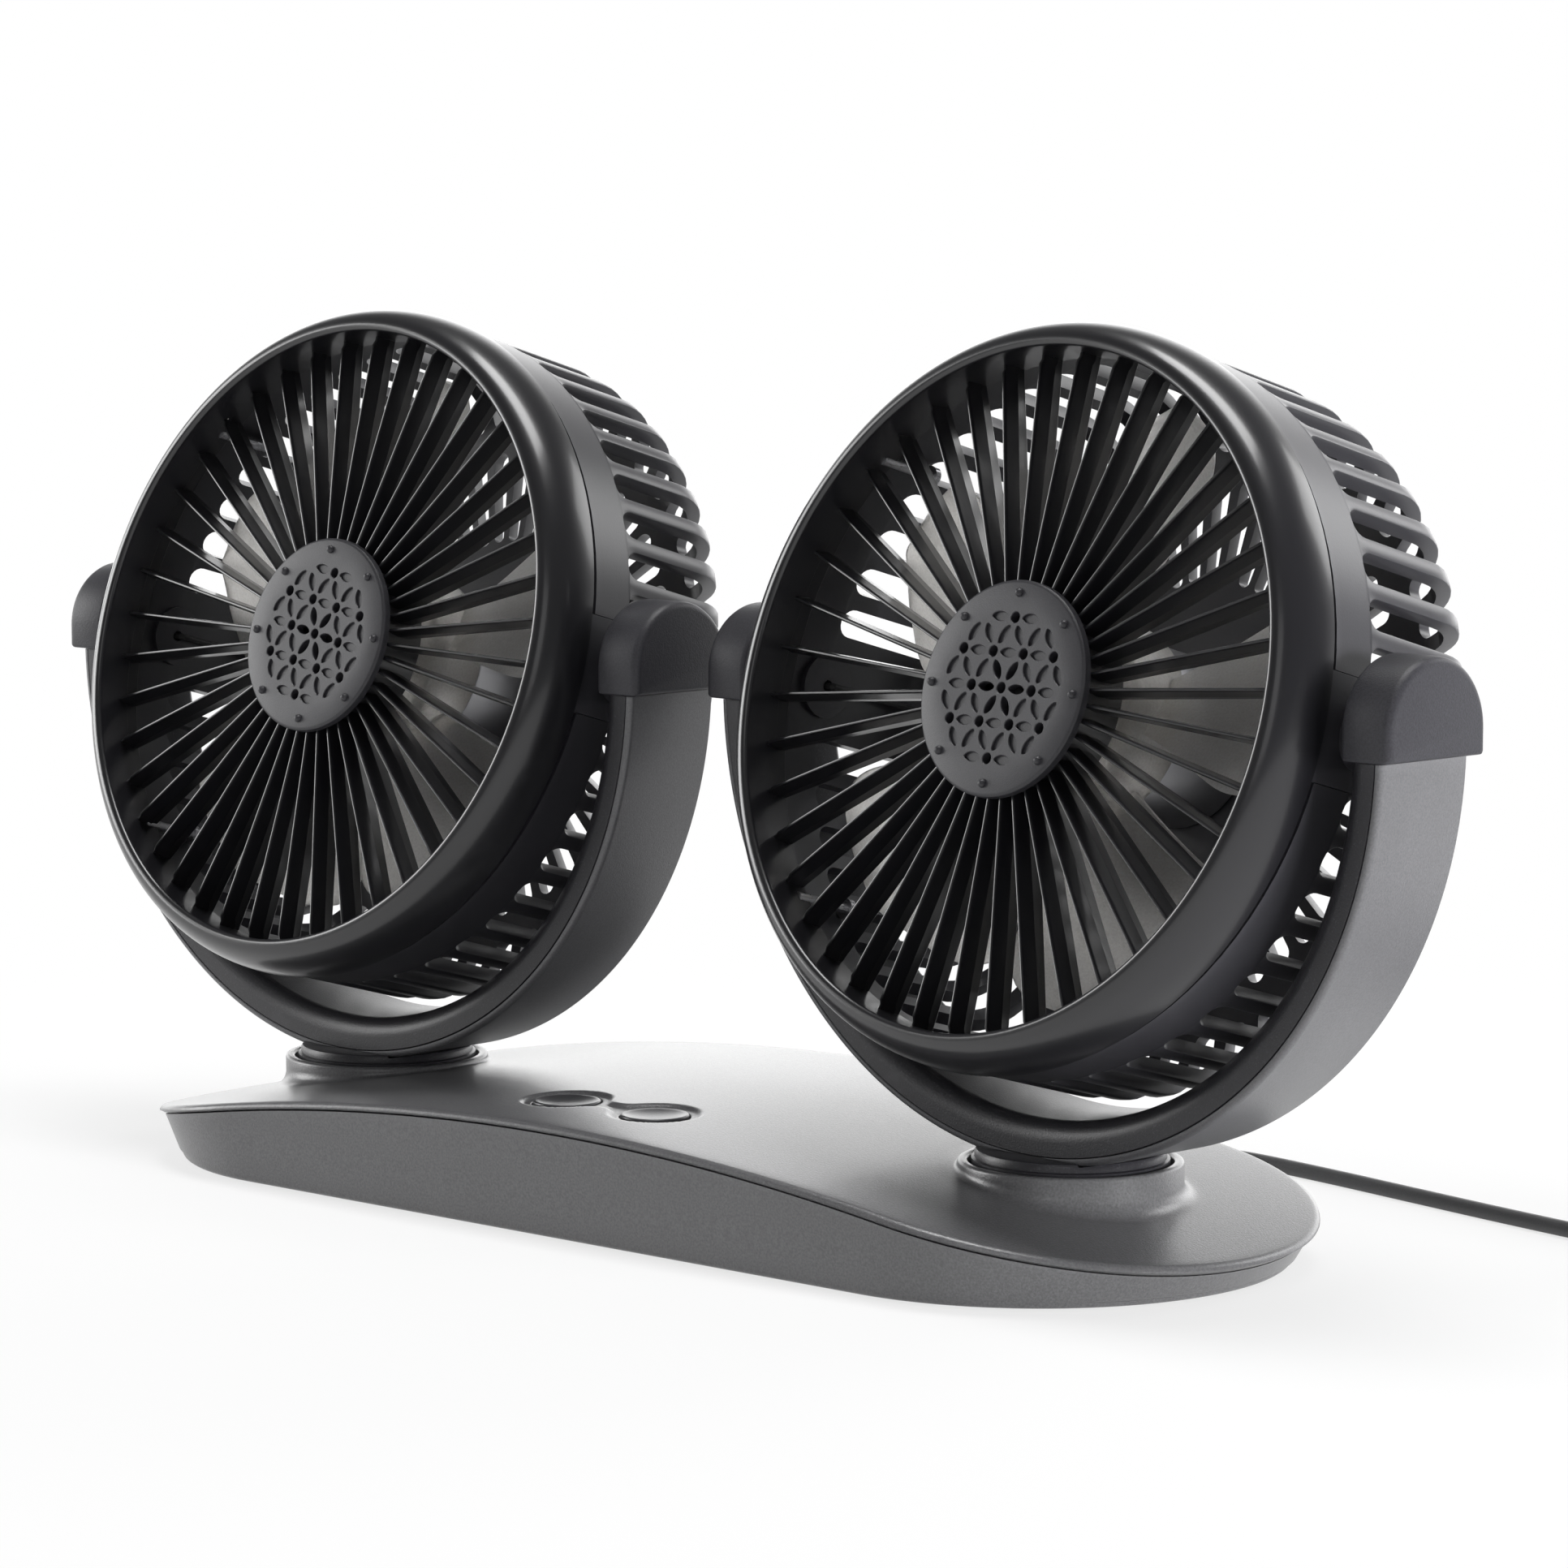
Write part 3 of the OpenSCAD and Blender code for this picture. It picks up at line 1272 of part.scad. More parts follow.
module usb_plug_shell() {
    color(steel) plug_place()
        translate([plug_len, -shell_w / 2, plug_z - shell_h / 2])
            difference() {
                cube([shell_len, shell_w, shell_h]);
                translate([2, 0.4, 0.4]) cube([shell_len, shell_w - 0.8, shell_h - 0.8]);
                for (sy = [-1, 1]) translate([8, shell_w / 2 + sy * 3 - 1.1, shell_h - 1])
                    cube([2.6, 2.2, 2]);
            }
}

base_bottom_shell();
base_top_shell();
grip_pad();
base_screws();
ballast_plate();
control_board();
board_screws();
button_switches();
left_button();
right_button();
left_turntable();
right_turntable();
left_swivel_nut();
right_swivel_nut();
left_swivel_washer();
right_swivel_washer();
left_yoke();
right_yoke();
left_yoke_cover();
right_yoke_cover();
left_yoke_screws();
right_yoke_screws();
left_pivot_caps();
right_pivot_caps();
left_yoke_wire();
right_yoke_wire();
left_grille();
right_grille();
left_hub_plate();
right_hub_plate();
left_hub_rivets();
right_hub_rivets();
left_housing();
right_housing();
left_housing_screws();
right_housing_screws();
left_pivot_pads();
right_pivot_pads();
left_pivot_screws();
right_pivot_screws();
left_motor();
right_motor();
left_motor_screws();
right_motor_screws();
left_head_wire();
right_head_wire();
left_rotor();
right_rotor();
left_rotor_shaft();
right_rotor_shaft();
left_rotor_nut();
right_rotor_nut();
cord_grommet();
cord_lead();
cord_coil();
cord_tail();
cord_tie();
usb_plug_body();
usb_plug_shell();
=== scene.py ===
from math import acos, asin, atan2, cos, degrees, hypot, pi, radians, sin, sqrt, tan

import bmesh
import bpy
from bpy.props import FloatProperty, FloatVectorProperty, PointerProperty
from mathutils import Matrix, Vector
from mathutils.geometry import delaunay_2d_cdt


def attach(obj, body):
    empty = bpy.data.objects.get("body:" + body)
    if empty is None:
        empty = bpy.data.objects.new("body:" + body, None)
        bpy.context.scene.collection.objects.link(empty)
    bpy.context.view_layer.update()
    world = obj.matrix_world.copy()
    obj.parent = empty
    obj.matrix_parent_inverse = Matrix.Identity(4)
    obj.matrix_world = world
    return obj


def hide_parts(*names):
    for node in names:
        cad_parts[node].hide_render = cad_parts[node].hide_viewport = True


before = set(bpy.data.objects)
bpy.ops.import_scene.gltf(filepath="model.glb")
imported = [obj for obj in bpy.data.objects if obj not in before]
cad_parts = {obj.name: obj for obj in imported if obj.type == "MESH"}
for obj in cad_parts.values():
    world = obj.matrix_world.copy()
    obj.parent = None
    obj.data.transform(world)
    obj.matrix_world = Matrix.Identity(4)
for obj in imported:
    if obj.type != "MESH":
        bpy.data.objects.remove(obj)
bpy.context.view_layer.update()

bl_info = {
    "name": "Dual-Head Fan Dressing",
    "version": (1, 0, 0),
    "blender": (4, 5, 0),
    "location": "3D View > Sidebar > Fan",
    "description": "Builds the visible surfaces and finishes of a dual-head dashboard fan",
    "category": "Object",
}

MM = 0.001
SIDES = {"left": -1, "right": 1}

# Places and sizes shared with the solids, in millimetres and degrees
HEAD_X, PIVOT_H, TILT = 70.0, 79.5, 15.4
PAN = {"left": -1.0, "right": -5.0}
FIN_TURN = {"left": 2.6, "right": 0.0}
PLATE_TURN = {"left": -10.8, "right": -0.8}
BLADE_TURN = {"left": 20.0, "right": 8.0}

# The camera that fits the photograph, in metres and degrees
CAMERA_PLACE = (0.51287, -0.56027, 0.1485)
CAMERA_DOWN, CAMERA_TURN = 6.366, 41.606


def colour(name, text, value):
    return FloatVectorProperty(name=name, description=text, subtype="COLOR", size=3, min=0.0,
                               max=1.0, default=value)


def length(name, text, value, low, high):
    return FloatProperty(name=name, description=text, default=value, min=low, max=high,
                         subtype="DISTANCE", unit="LENGTH", precision=5)


def power(name, text, value):
    return FloatProperty(name=name, description=text, default=value, min=0.0, max=200.0,
                         unit="POWER")


class FanColours(bpy.types.PropertyGroup):
    base: colour("Base", "Colour of the base's two shells", (0.098, 0.098, 0.102))
    yoke: colour("Yoke", "Colour of the yokes' channels and turntables", (0.020, 0.0195, 0.023))
    trim: colour("Trim", "Colour of the pivot caps", (0.034, 0.0335, 0.039))
    band: colour("Bands", "Colour of the yokes' cover bands", (0.104, 0.104, 0.110))
    grille: colour("Grille", "Colour of the bezels and their fins", (0.0095, 0.0093, 0.0112))
    housing: colour("Housing", "Colour of the rear housings", (0.030, 0.0295, 0.034))
    plate: colour("Hub plate", "Colour of the pierced hub plates", (0.026, 0.0255, 0.030))
    blade: colour("Blades", "Colour of the rotors' blades", (0.93, 0.91, 0.88))
    button: colour("Buttons", "Colour of the two push buttons", (0.042, 0.042, 0.045))
    cord: colour("Cord", "Colour of the lead", (0.050, 0.050, 0.052))


class FanSizes(bpy.types.PropertyGroup):
    cord_width: length("Cord", "Diameter of the lead", 0.0024, 0.0015, 0.004)
    fin_width: length("Fins", "Thickness of a grille fin at its front", 0.0011, 0.0006, 0.002)
    wear: FloatProperty(name="Edge wear", description="How much paler the edges have rubbed",
                        default=0.35, min=0.0, max=1.0, subtype="FACTOR")
    blade_pitch: FloatProperty(name="Blade pitch", description="Pitch of a blade at its tip",
                               default=radians(24.0), min=0.1, max=0.8, subtype="ANGLE",
                               unit="ROTATION")


class FanStudio(bpy.types.PropertyGroup):
    top: power("Top light", "Power of the soft lamp overhead", 8.5)
    front: power("Front light", "Power of the soft lamp by the camera", 0.5)
    key: power("Left light", "Power of the soft lamp on the left", 5.2)
    side: power("Right light", "Power of the soft lamp on the right", 12.5)
    rim: power("Light behind", "Power of the soft lamp behind the fans", 2.6)
    fill: FloatProperty(name="Surroundings", description="Strength of the pale surroundings",
                        default=0.17, min=0.0, max=2.0)
    back: FloatProperty(name="Wall behind", description="Strength of the white wall's light",
                        default=3.0, min=0.0, max=6.0)
    lens: FloatProperty(name="Lens", description="Focal length of the camera in millimetres",
                        default=116.49, min=20.0, max=300.0)


# Meshes from points in millimetres. A part is a pair: its points and its faces.

def as_mesh(name, part, place, weld=False):
    """A mesh with its faces turned outwards, and its doubled points joined if asked."""
    verts, faces = part
    mesh = bpy.data.meshes.new(name)
    mesh.from_pydata([place @ (Vector(v) * MM) for v in verts], [], faces)
    if weld:
        mesh.validate()
    bm = bmesh.new()
    bm.from_mesh(mesh)
    if weld:
        bmesh.ops.remove_doubles(bm, verts=bm.verts, dist=1e-6)
    bmesh.ops.recalc_face_normals(bm, faces=bm.faces)
    bm.to_mesh(mesh)
    bm.free()
    return mesh


def shade(mesh, sharp):
    """Smooth shading, but for edges that turn by more than an angle in degrees."""
    mesh.shade_smooth()
    mesh.set_sharp_from_angle(angle=radians(sharp))


def cut_away(obj, part, place):
    """Cuts a solid out of a piece."""
    mesh = as_mesh("cutter", part, place)
    tool = bpy.data.objects.new("cutter", mesh)
    bpy.context.collection.objects.link(tool)
    mod = obj.modifiers.new("Cut", "BOOLEAN")
    mod.operation = "DIFFERENCE"
    mod.solver = "EXACT"
    mod.object = tool
    dg = bpy.context.evaluated_depsgraph_get()
    done = bpy.data.meshes.new_from_object(obj.evaluated_get(dg))
    obj.modifiers.clear()
    old = obj.data
    obj.data = done
    bpy.data.meshes.remove(old)
    bpy.data.objects.remove(tool)
    bpy.data.meshes.remove(mesh)
    shade(done, 35)


def piece(name, part, body, look, nodes, sharp, place=Matrix.Identity(4), cuts=()):
    """A piece that rides on a body and stands for solids."""
    mesh = as_mesh(name, part, place, weld=True)
    shade(mesh, sharp)
    obj = bpy.data.objects.new(name, mesh)
    bpy.context.collection.objects.link(obj)
    mesh.materials.append(finish(look))
    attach(obj, body)
    for solid, where in cuts:
        cut_away(obj, solid, where)
    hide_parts(*nodes)
    return obj


def join(*parts):
    """Several parts as one."""
    verts, faces = [], []
    for v, f in parts:
        shift = len(verts)
        verts += list(v)
        faces += [tuple(i + shift for i in q) for q in f]
    return verts, faces


def moved(part, matrix):
    verts, faces = part
    return [tuple(matrix @ Vector(p)) for p in verts], faces


def spun(part, angle):
    """A part turned round Z by an angle in degrees."""
    return moved(part, Matrix.Rotation(radians(angle), 4, "Z"))


def raised(points, z):
    """Flat points at a height."""
    return [(x, y, z) for x, y in points]


def lid(loop):
    """One face over a closed loop of points."""
    return loop, [tuple(range(len(loop)))]


def tube(loops, capped=False):
    """Quads between closed loops of as many points each, with both ends closed if asked."""
    n, last = len(loops[0]), len(loops) - 1
    faces = [(i * n + k, i * n + (k + 1) % n, (i + 1) * n + (k + 1) % n, (i + 1) * n + k)
             for i in range(last) for k in range(n)]
    if capped:
        faces += [tuple(range(n - 1, -1, -1)), tuple(range(last * n, (last + 1) * n))]
    return [p for loop in loops for p in loop], faces


def prism(outline, x0, x1):
    """A solid between two copies of an outline across X."""
    return tube([[(x, a, b) for a, b in outline] for x in (x0, x1)], capped=True)


def lathe(profile, steps=96, start=0.0, sweep=360.0, close_profile=True):
    """Turns (radius, height) points round Z. A full turn joins up; a part turn is capped."""
    full = sweep == 360.0
    rows = steps if full else steps + 1
    n = len(profile)
    verts, faces = [], []
    for i in range(rows):
        a = radians(start + sweep * i / steps)
        verts += [(r * cos(a), r * sin(a), z) for r, z in profile]
    for i in range(steps):
        j = (i + 1) % rows
        for k in range(n if close_profile else n - 1):
            m = (k + 1) % n
            faces.append((i * n + k, j * n + k, j * n + m, i * n + m))
    if not full and close_profile:
        faces += [tuple(range(n - 1, -1, -1)), tuple((rows - 1) * n + k for k in range(n))]
    return verts, faces


def arc(cx, cz, r, a0, a1, n):
    """Points on an arc between two angles in degrees."""
    return [(cx + r * cos(radians(a0 + (a1 - a0) * k / n)),
             cz + r * sin(radians(a0 + (a1 - a0) * k / n))) for k in range(n + 1)]


def circle(cx, cy, r, n):
    return [(cx + r * cos(2 * pi * k / n), cy + r * sin(2 * pi * k / n)) for k in range(n)]


def dome(r, rise, n):
    """Half a circle above a height, from right to left."""
    return [(r * cos(pi * k / n), rise + r * sin(pi * k / n)) for k in range(n + 1)]


def within(p, loop):
    """Whether a flat point lies inside a closed loop."""
    hit = False
    for (x0, y0), (x1, y1) in zip(loop, loop[1:] + loop[:1]):
        if (y0 > p[1]) != (y1 > p[1]) and p[0] < x0 + (p[1] - y0) * (x1 - x0) / (y1 - y0):
            hit = not hit
    return hit


def sheet_with_holes(outline, holes, extra=()):
    """Flat triangles between an outline and its holes. Gives flat points and faces."""
    points, edges = [], []
    for loop in (outline, *holes):
        s, n = len(points), len(loop)
        points += [Vector(p) for p in loop]
        edges += [(s + k, s + (k + 1) % n) for k in range(n)]
    points += [Vector(p) for p in extra]
    verts, _, faces, *_ = delaunay_2d_cdt(points, edges, [], 1, 1e-7)
    boxes = [(min(p[0] for p in h), max(p[0] for p in h), min(p[1] for p in h),
              max(p[1] for p in h)) for h in holes]
    keep = []
    for q in faces:
        c = sum((verts[i] for i in q), Vector((0, 0))) / len(q)
        if within(c, outline) and not any(
                b[0] < c[0] < b[1] and b[2] < c[1] < b[3] and within(c, h)
                for b, h in zip(boxes, holes)):
            keep.append(tuple(q))
    return [tuple(p) for p in verts], keep


# Frames of the groups that move

def swivel_place(side):
    return (Matrix.Translation((SIDES[side] * HEAD_X * MM, 0, 0))
            @ Matrix.Rotation(radians(PAN[side]), 4, "Z"))


def yoke_place(side):
    return swivel_place(side) @ Matrix.Translation((0, 0, PIVOT_H * MM))


def head_place(side):
    return yoke_place(side) @ Matrix.Rotation(radians(90 - TILT), 4, "X")


# Plastics: colour, roughness, strength and width of the grain, mottling, and what is special
PLASTICS = {
    "Base grained grey": ("base", 0.32, 0.5, 0.0003, 0.03, {"spec": 0.7, "lacquer": 0.12}),
    "Yoke speckled charcoal": ("yoke", 0.38, 0.35, 0.00026, 0.06, {"speckle": 0.9}),
    "Trim satin graphite": ("trim", 0.46, 0.4, 0.00026, 0.05, {"spec": 0.35}),
    "Band satin graphite": ("band", 0.36, 0.35, 0.00026, 0.05, {"spec": 0.7}),
    "Bezel satin black": ("grille", 0.29, 0.06, 0.0003, 0.08, {"wear": 0.12, "lacquer": 0.4}),
    "Housing satin black": ("housing", 0.32, 0.1, 0.00026, 0.06, {}),
    "Hub plate satin grey": ("plate", 0.44, 0.35, 0.0002, 0.06, {}),
    "Blade grained warm grey": ("blade", 0.36, 0.3, 0.00035, 0.03, {"wear": 0.1, "frosted": 0.92}),
    "Button soft gloss": ("button", 0.29, 0.2, 0.00022, 0.05, {}),
    "Cord matt jacket": ("cord", 0.48, 0.3, 0.0002, 0.08, {"wear": 0.0}),
    "Rubber matt black": ((0.02, 0.02, 0.02), 0.75, 0.6, 0.0004, 0.15, {"wear": 0.1}),
    "Plain black moulding": ((0.015, 0.015, 0.015), 0.5, 0.3, 0.0003, 0.10, {}),
    "Circuit board green": ((0.02, 0.14, 0.06), 0.3, 0.2, 0.0006, 0.2, {"wear": 0.0}),
    "Wire jacket": ((0.03, 0.03, 0.03), 0.5, 0.2, 0.0003, 0.10, {"wear": 0.0}),
}
# Metals: colour, roughness, strength of the drawn lines and how they stretch
METALS = {
    "Plated steel": ((0.62, 0.62, 0.64), 0.28, 0.25, (1, 1, 12)),
    "Ground steel": ((0.66, 0.66, 0.68), 0.22, 0.15, (1, 1, 12)),
    "Drawn motor can": ((0.55, 0.55, 0.57), 0.34, 0.3, (1, 6, 6)),
    "Ballast steel": ((0.40, 0.40, 0.42), 0.45, 0.4, (4, 1, 1)),
    "Plug nickel": ((0.78, 0.77, 0.74), 0.2, 0.15, (1, 8, 8)),
}


def feed(tree, target, inputs):
    """Gives a node's inputs, by name or number, a value or a link."""
    for key, value in inputs.items():
        if isinstance(value, bpy.types.NodeSocket):
            tree.links.new(value, target.inputs[key])
        else:
            target.inputs[key].default_value = value


def node(tree, kind, inputs=None, **settings):
    """A new shader node with its settings and inputs."""
    new = tree.nodes.new("ShaderNode" + kind)
    for key, value in settings.items():
        setattr(new, key, value)
    feed(tree, new, inputs or {})
    return new


def blank(name):
    """A new material, its nodes and its main shader."""
    mat = bpy.data.materials.new(name)
    mat.use_nodes = True
    return mat, mat.node_tree, mat.node_tree.nodes["Principled BSDF"]


def moulded(name, rgb, rough, grain, width, mottle, wear=None, spec=0.5, speckle=0.0,
            frosted=0.0, lacquer=0.0):
    """Moulded plastic: fine spark-eroded grain, slow shade and gloss variation, rubbed edges."""
    mat, tree, shader = blank(name)
    wear = bpy.context.scene.fan_sizes.wear if wear is None else wear
    place = node(tree, "TexCoord").outputs["Object"]

    def noise(scale, detail=2.0, harshness=0.5):
        return node(tree, "TexNoise", {"Scale": scale, "Detail": detail, "Roughness": harshness,
                                       "Vector": place}).outputs["Fac"]

    def spread(value, low, high, from_low=0.3, from_high=0.7):
        return node(tree, "MapRange", {"From Min": from_low, "From Max": from_high, "To Min": low,
                                       "To Max": high, "Value": value}).outputs["Result"]

    def mixed(factor, a, b, blend="MIX"):
        return node(tree, "Mix", {0: factor, 6: a, 7: b}, data_type="RGBA",
                    blend_type=blend).outputs[2]

    def tinted(gain, lift=0.0):
        return tuple(min(1, c * gain + lift) for c in rgb) + (1.0,)

    tone = mixed(spread(noise(60.0, 3.0), 0.0, 1.0), tinted(1 - mottle), tinted(1 + mottle))
    sand = spread(noise(0.9 / width, 1.0), 1.0 - 0.4 * grain, 1.0 + 0.4 * grain)
    tone = mixed(1.0, tone, sand, "MULTIPLY")
    if speckle:
        dots = spread(noise(0.75 / width, 1.0), 0.0, 1.0, 0.62, 0.74)
        tone = mixed(dots, tone, tinted(1 + speckle, 0.004))
    if wear:
        edges = node(tree, "NewGeometry").outputs["Pointiness"]
        tone = mixed(spread(edges, 0.0, wear, 0.53, 0.62), tone, tinted(1.9, 0.01))
    gloss = spread(noise(1600.0), rough - 0.006, rough + 0.008)
    bump = node(tree, "Bump", {"Strength": grain, "Distance": width * 0.35,
                               "Height": noise(1.0 / width, 2.0, 0.6)})
    feed(tree, shader, {"Base Color": tone, "Roughness": gloss, "Normal": bump.outputs["Normal"],
                        "Specular IOR Level": spec, "Transmission Weight": frosted,
                        "Coat Weight": lacquer, "Coat Roughness": 0.15})
    return mat


def metal(name, rgb, rough, brush, stretch):
    """Plated or drawn metal with fine lines in one direction."""
    mat, tree, shader = blank(name)
    place = node(tree, "TexCoord").outputs["Object"]
    mapping = node(tree, "Mapping", {"Scale": stretch, "Vector": place})
    lines = node(tree, "TexNoise", {"Scale": 900.0, "Detail": 3.0,
                                    "Vector": mapping.outputs["Vector"]}).outputs["Fac"]
    gloss = node(tree, "MapRange", {"To Min": max(0.05, rough - 0.1), "To Max": rough + 0.15,
                                    "Value": lines})
    tint = node(tree, "Mix", {0: lines, 6: tuple(c * 0.85 for c in rgb) + (1.0,),
                              7: tuple(rgb) + (1.0,)}, data_type="RGBA")
    bump = node(tree, "Bump", {"Strength": brush, "Distance": 0.00002, "Height": lines})
    feed(tree, shader, {"Metallic": 1.0, "Base Color": tint.outputs[2],
                        "Roughness": gloss.outputs["Result"], "Normal": bump.outputs["Normal"]})
    return mat


def finish(key):
    """The finish of one kind of surface, made once."""
    if key in bpy.data.materials:
        return bpy.data.materials[key]
    if key in METALS:
        return metal(key, *METALS[key])
    tint, *values, special = PLASTICS[key]
    rgb = tuple(getattr(bpy.context.scene.fan_colours, tint)) if isinstance(tint, str) else tint
    return moulded(key, rgb, *values, **special)


def dress(looks):
    """Gives the solids that stay in view a finish in all their slots."""
    for name, look in looks.items():
        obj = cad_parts[name]
        if not obj.material_slots:
            obj.data.materials.append(finish(look))
        for slot in obj.material_slots:
            slot.material = finish(look)


class FAN_OT_camera(bpy.types.Operator):
    """Sets the camera where the photograph was taken from"""
    bl_idname = "fan.camera"
    bl_label = "Camera"

    def execute(self, context):
        data = bpy.data.cameras.new("Camera")
        data.sensor_fit = "HORIZONTAL"
        data.sensor_width = 36.0
        data.lens = context.scene.fan_studio.lens
        data.clip_start, data.clip_end = 0.05, 20.0
        cam = bpy.data.objects.new("Camera", data)
        cam.location = CAMERA_PLACE
        cam.rotation_euler = (radians(90 - CAMERA_DOWN), 0, radians(CAMERA_TURN))
        context.collection.objects.link(cam)
        context.scene.camera = cam
        return {"FINISHED"}


# The lead's route, as in the solids
CORD_D = 2.4
HEADING = radians(-12.4)
COIL_R, COIL_LAYERS, COIL_TURNS, COIL_GAP, COIL_BASE = 13.4, 4, 3, 0.45, 0.8
COIL_STEP = CORD_D + COIL_GAP
TURN_POINTS = 24
CLIMB = 0.5
TAIL_RUN, PLUG_Z = 26.0, 3.8
LEAD_POINTS = [(18, 46, 5.5), (18, 47.2, 5.5), (18, 52.6, 4.7), (19.5, 60, 3), (24, 68, 1.7),
               (32, 74.5, 1.2), (43, 77, 1.2), (60, 74.4, 1.2), (80, 70, 1.2), (100, 65.6, 1.2),
               (120, 61.1, 1.4), (136.83, 57.36, 2), (138, 57.1, 2)]
LEAD_STEPS = [1, 3, 3, 3, 3, 4, 5, 5, 5, 5, 5, 1]


def spline_route(points, steps):
    """Points on a smooth curve through the route points."""
    p = [Vector(q) for q in points]
    out = []
    for k, n in enumerate(steps):
        a, b, c, d = p[max(k - 1, 0)], p[k], p[k + 1], p[min(k + 2, len(p) - 1)]
        for s in range(n):
            t = s / n
            out.append(0.5 * (2 * b + (c - a) * t + (2 * a - 5 * b + 4 * c - d) * t * t
                              + (3 * b - a - 3 * c + d) * t ** 3))
    return out + [p[-1]]


def along(start, run, z):
    """The point at a run from a start in the coil's heading."""
    return (start[0] + run * cos(HEADING), start[1] + run * sin(HEADING), z)


def coil_route():
    """The coil's turns, layer on layer, the tail that comes down to the plug, and its end."""
    start = LEAD_POINTS[-1]
    out_r = COIL_R + COIL_STEP * COIL_TURNS / 2
    loops = COIL_LAYERS * COIL_TURNS
    ahead = along(start, CORD_D, 0)
    cx = ahead[0] + out_r * cos(HEADING + pi / 2)
    cy = ahead[1] + out_r * sin(HEADING + pi / 2)
    base = COIL_BASE + CORD_D / 2
    turns = []
    for k in range(loops * TURN_POINTS + 1):
        t = k / TURN_POINTS
        layer = int(t // COIL_TURNS)
        u = t - layer * COIL_TURNS
        r = out_r - COIL_STEP * (u if layer % 2 == 0 else COIL_TURNS - u)
        near = round(t / COIL_TURNS)
        past = t - near * COIL_TURNS
        if near <= 0 or near >= COIL_LAYERS or abs(past) > CLIMB / 2:
            level = int((t / COIL_TURNS - (0.5 if t >= loops else 0)) // 1)
        else:
            level = near - 1 + (past + CLIMB / 2) / CLIMB
        a = HEADING - pi / 2 + 2 * pi * t
        turns.append((cx + r * cos(a), cy + r * sin(a), base + COIL_STEP * level))
    top = base + (COIL_LAYERS - 1) * COIL_STEP
    tail = along(start, 2 * CORD_D, top)
    turns.append(tail)
    plug = along(tail, TAIL_RUN, PLUG_Z)
    points = [tail, along(tail, 1.2, top), along(tail, 0.35 * TAIL_RUN, top - 2),
              along(tail, 0.7 * TAIL_RUN, PLUG_Z + 1.2), along(plug, -1.2, PLUG_Z), plug]
    return turns, spline_route(points, [1, 4, 4, 4, 1]), plug


SLEEVE_ROOT, SLEEVE_R, SLEEVE_TAPER, RIB_STEP, RIB_COUNT = 39.2, 2.5, 0.6 / 6.8, 1.25, 5


def sleeve_profile():
    """Half section of the ribbed taper where the lead leaves the base."""
    profile = [(1.5, 33.4), (3.1, 33.4), (3.1, 34.8), (SLEEVE_R, 34.8), (SLEEVE_R, SLEEVE_ROOT)]
    for k in range(RIB_COUNT):
        y = SLEEVE_ROOT + RIB_STEP * k
        r = SLEEVE_R - SLEEVE_TAPER * (y - SLEEVE_ROOT)
        profile += [(r, y), (r + 0.25, y + 0.25), (r + 0.25, y + 0.75), (r - 0.05, y + 1.0)]
    return profile + [(1.75, 45.8), (1.55, 46.0), (1.24, 46.0)]


# Stations down the plug's grip: distance, half width and half height
GRIP_STATIONS = [(0.0, 2.0, 2.0), (0.4, 2.35, 2.35), (3.0, 2.7, 2.6), (5.4, 3.3, 3.0),
                 (6.4, 5.6, 3.4), (7.4, 6.8, 3.7), (8.4, 7.3, 3.78), (10.0, 7.45, 3.8),
                 (18.6, 7.45, 3.8), (20.0, 7.4, 3.78), (20.7, 7.1, 3.5), (21.0, 6.8, 3.2)]
GRIP_POINTS = 48
RIDGES, RIDGE_START, RIDGE_STEP, RIDGE_W, RIDGE_HALF = 5, 11.0, 1.6, 0.7, 2.4
RIDGE_FLOOR, RIDGE_OUT = 7.1, 8.2


def plug_grip():
    """The grip, round where the lead comes in and squarer towards the shell."""
    loops = []
    for x, half_w, half_h in GRIP_STATIONS:
        p = 2.0 + 4.0 * min(1.0, max(0.0, (x - 4.5) / 4.0))
        loop = []
        for k in range(GRIP_POINTS):
            ca, sa = cos(2 * pi * k / GRIP_POINTS), sin(2 * pi * k / GRIP_POINTS)
            m = (abs(ca) ** p + abs(sa) ** p) ** (-1 / p)
            loop.append((x, half_w * ca * m, half_h * sa * m))
        loops.append(loop)
    return tube(loops, capped=True)


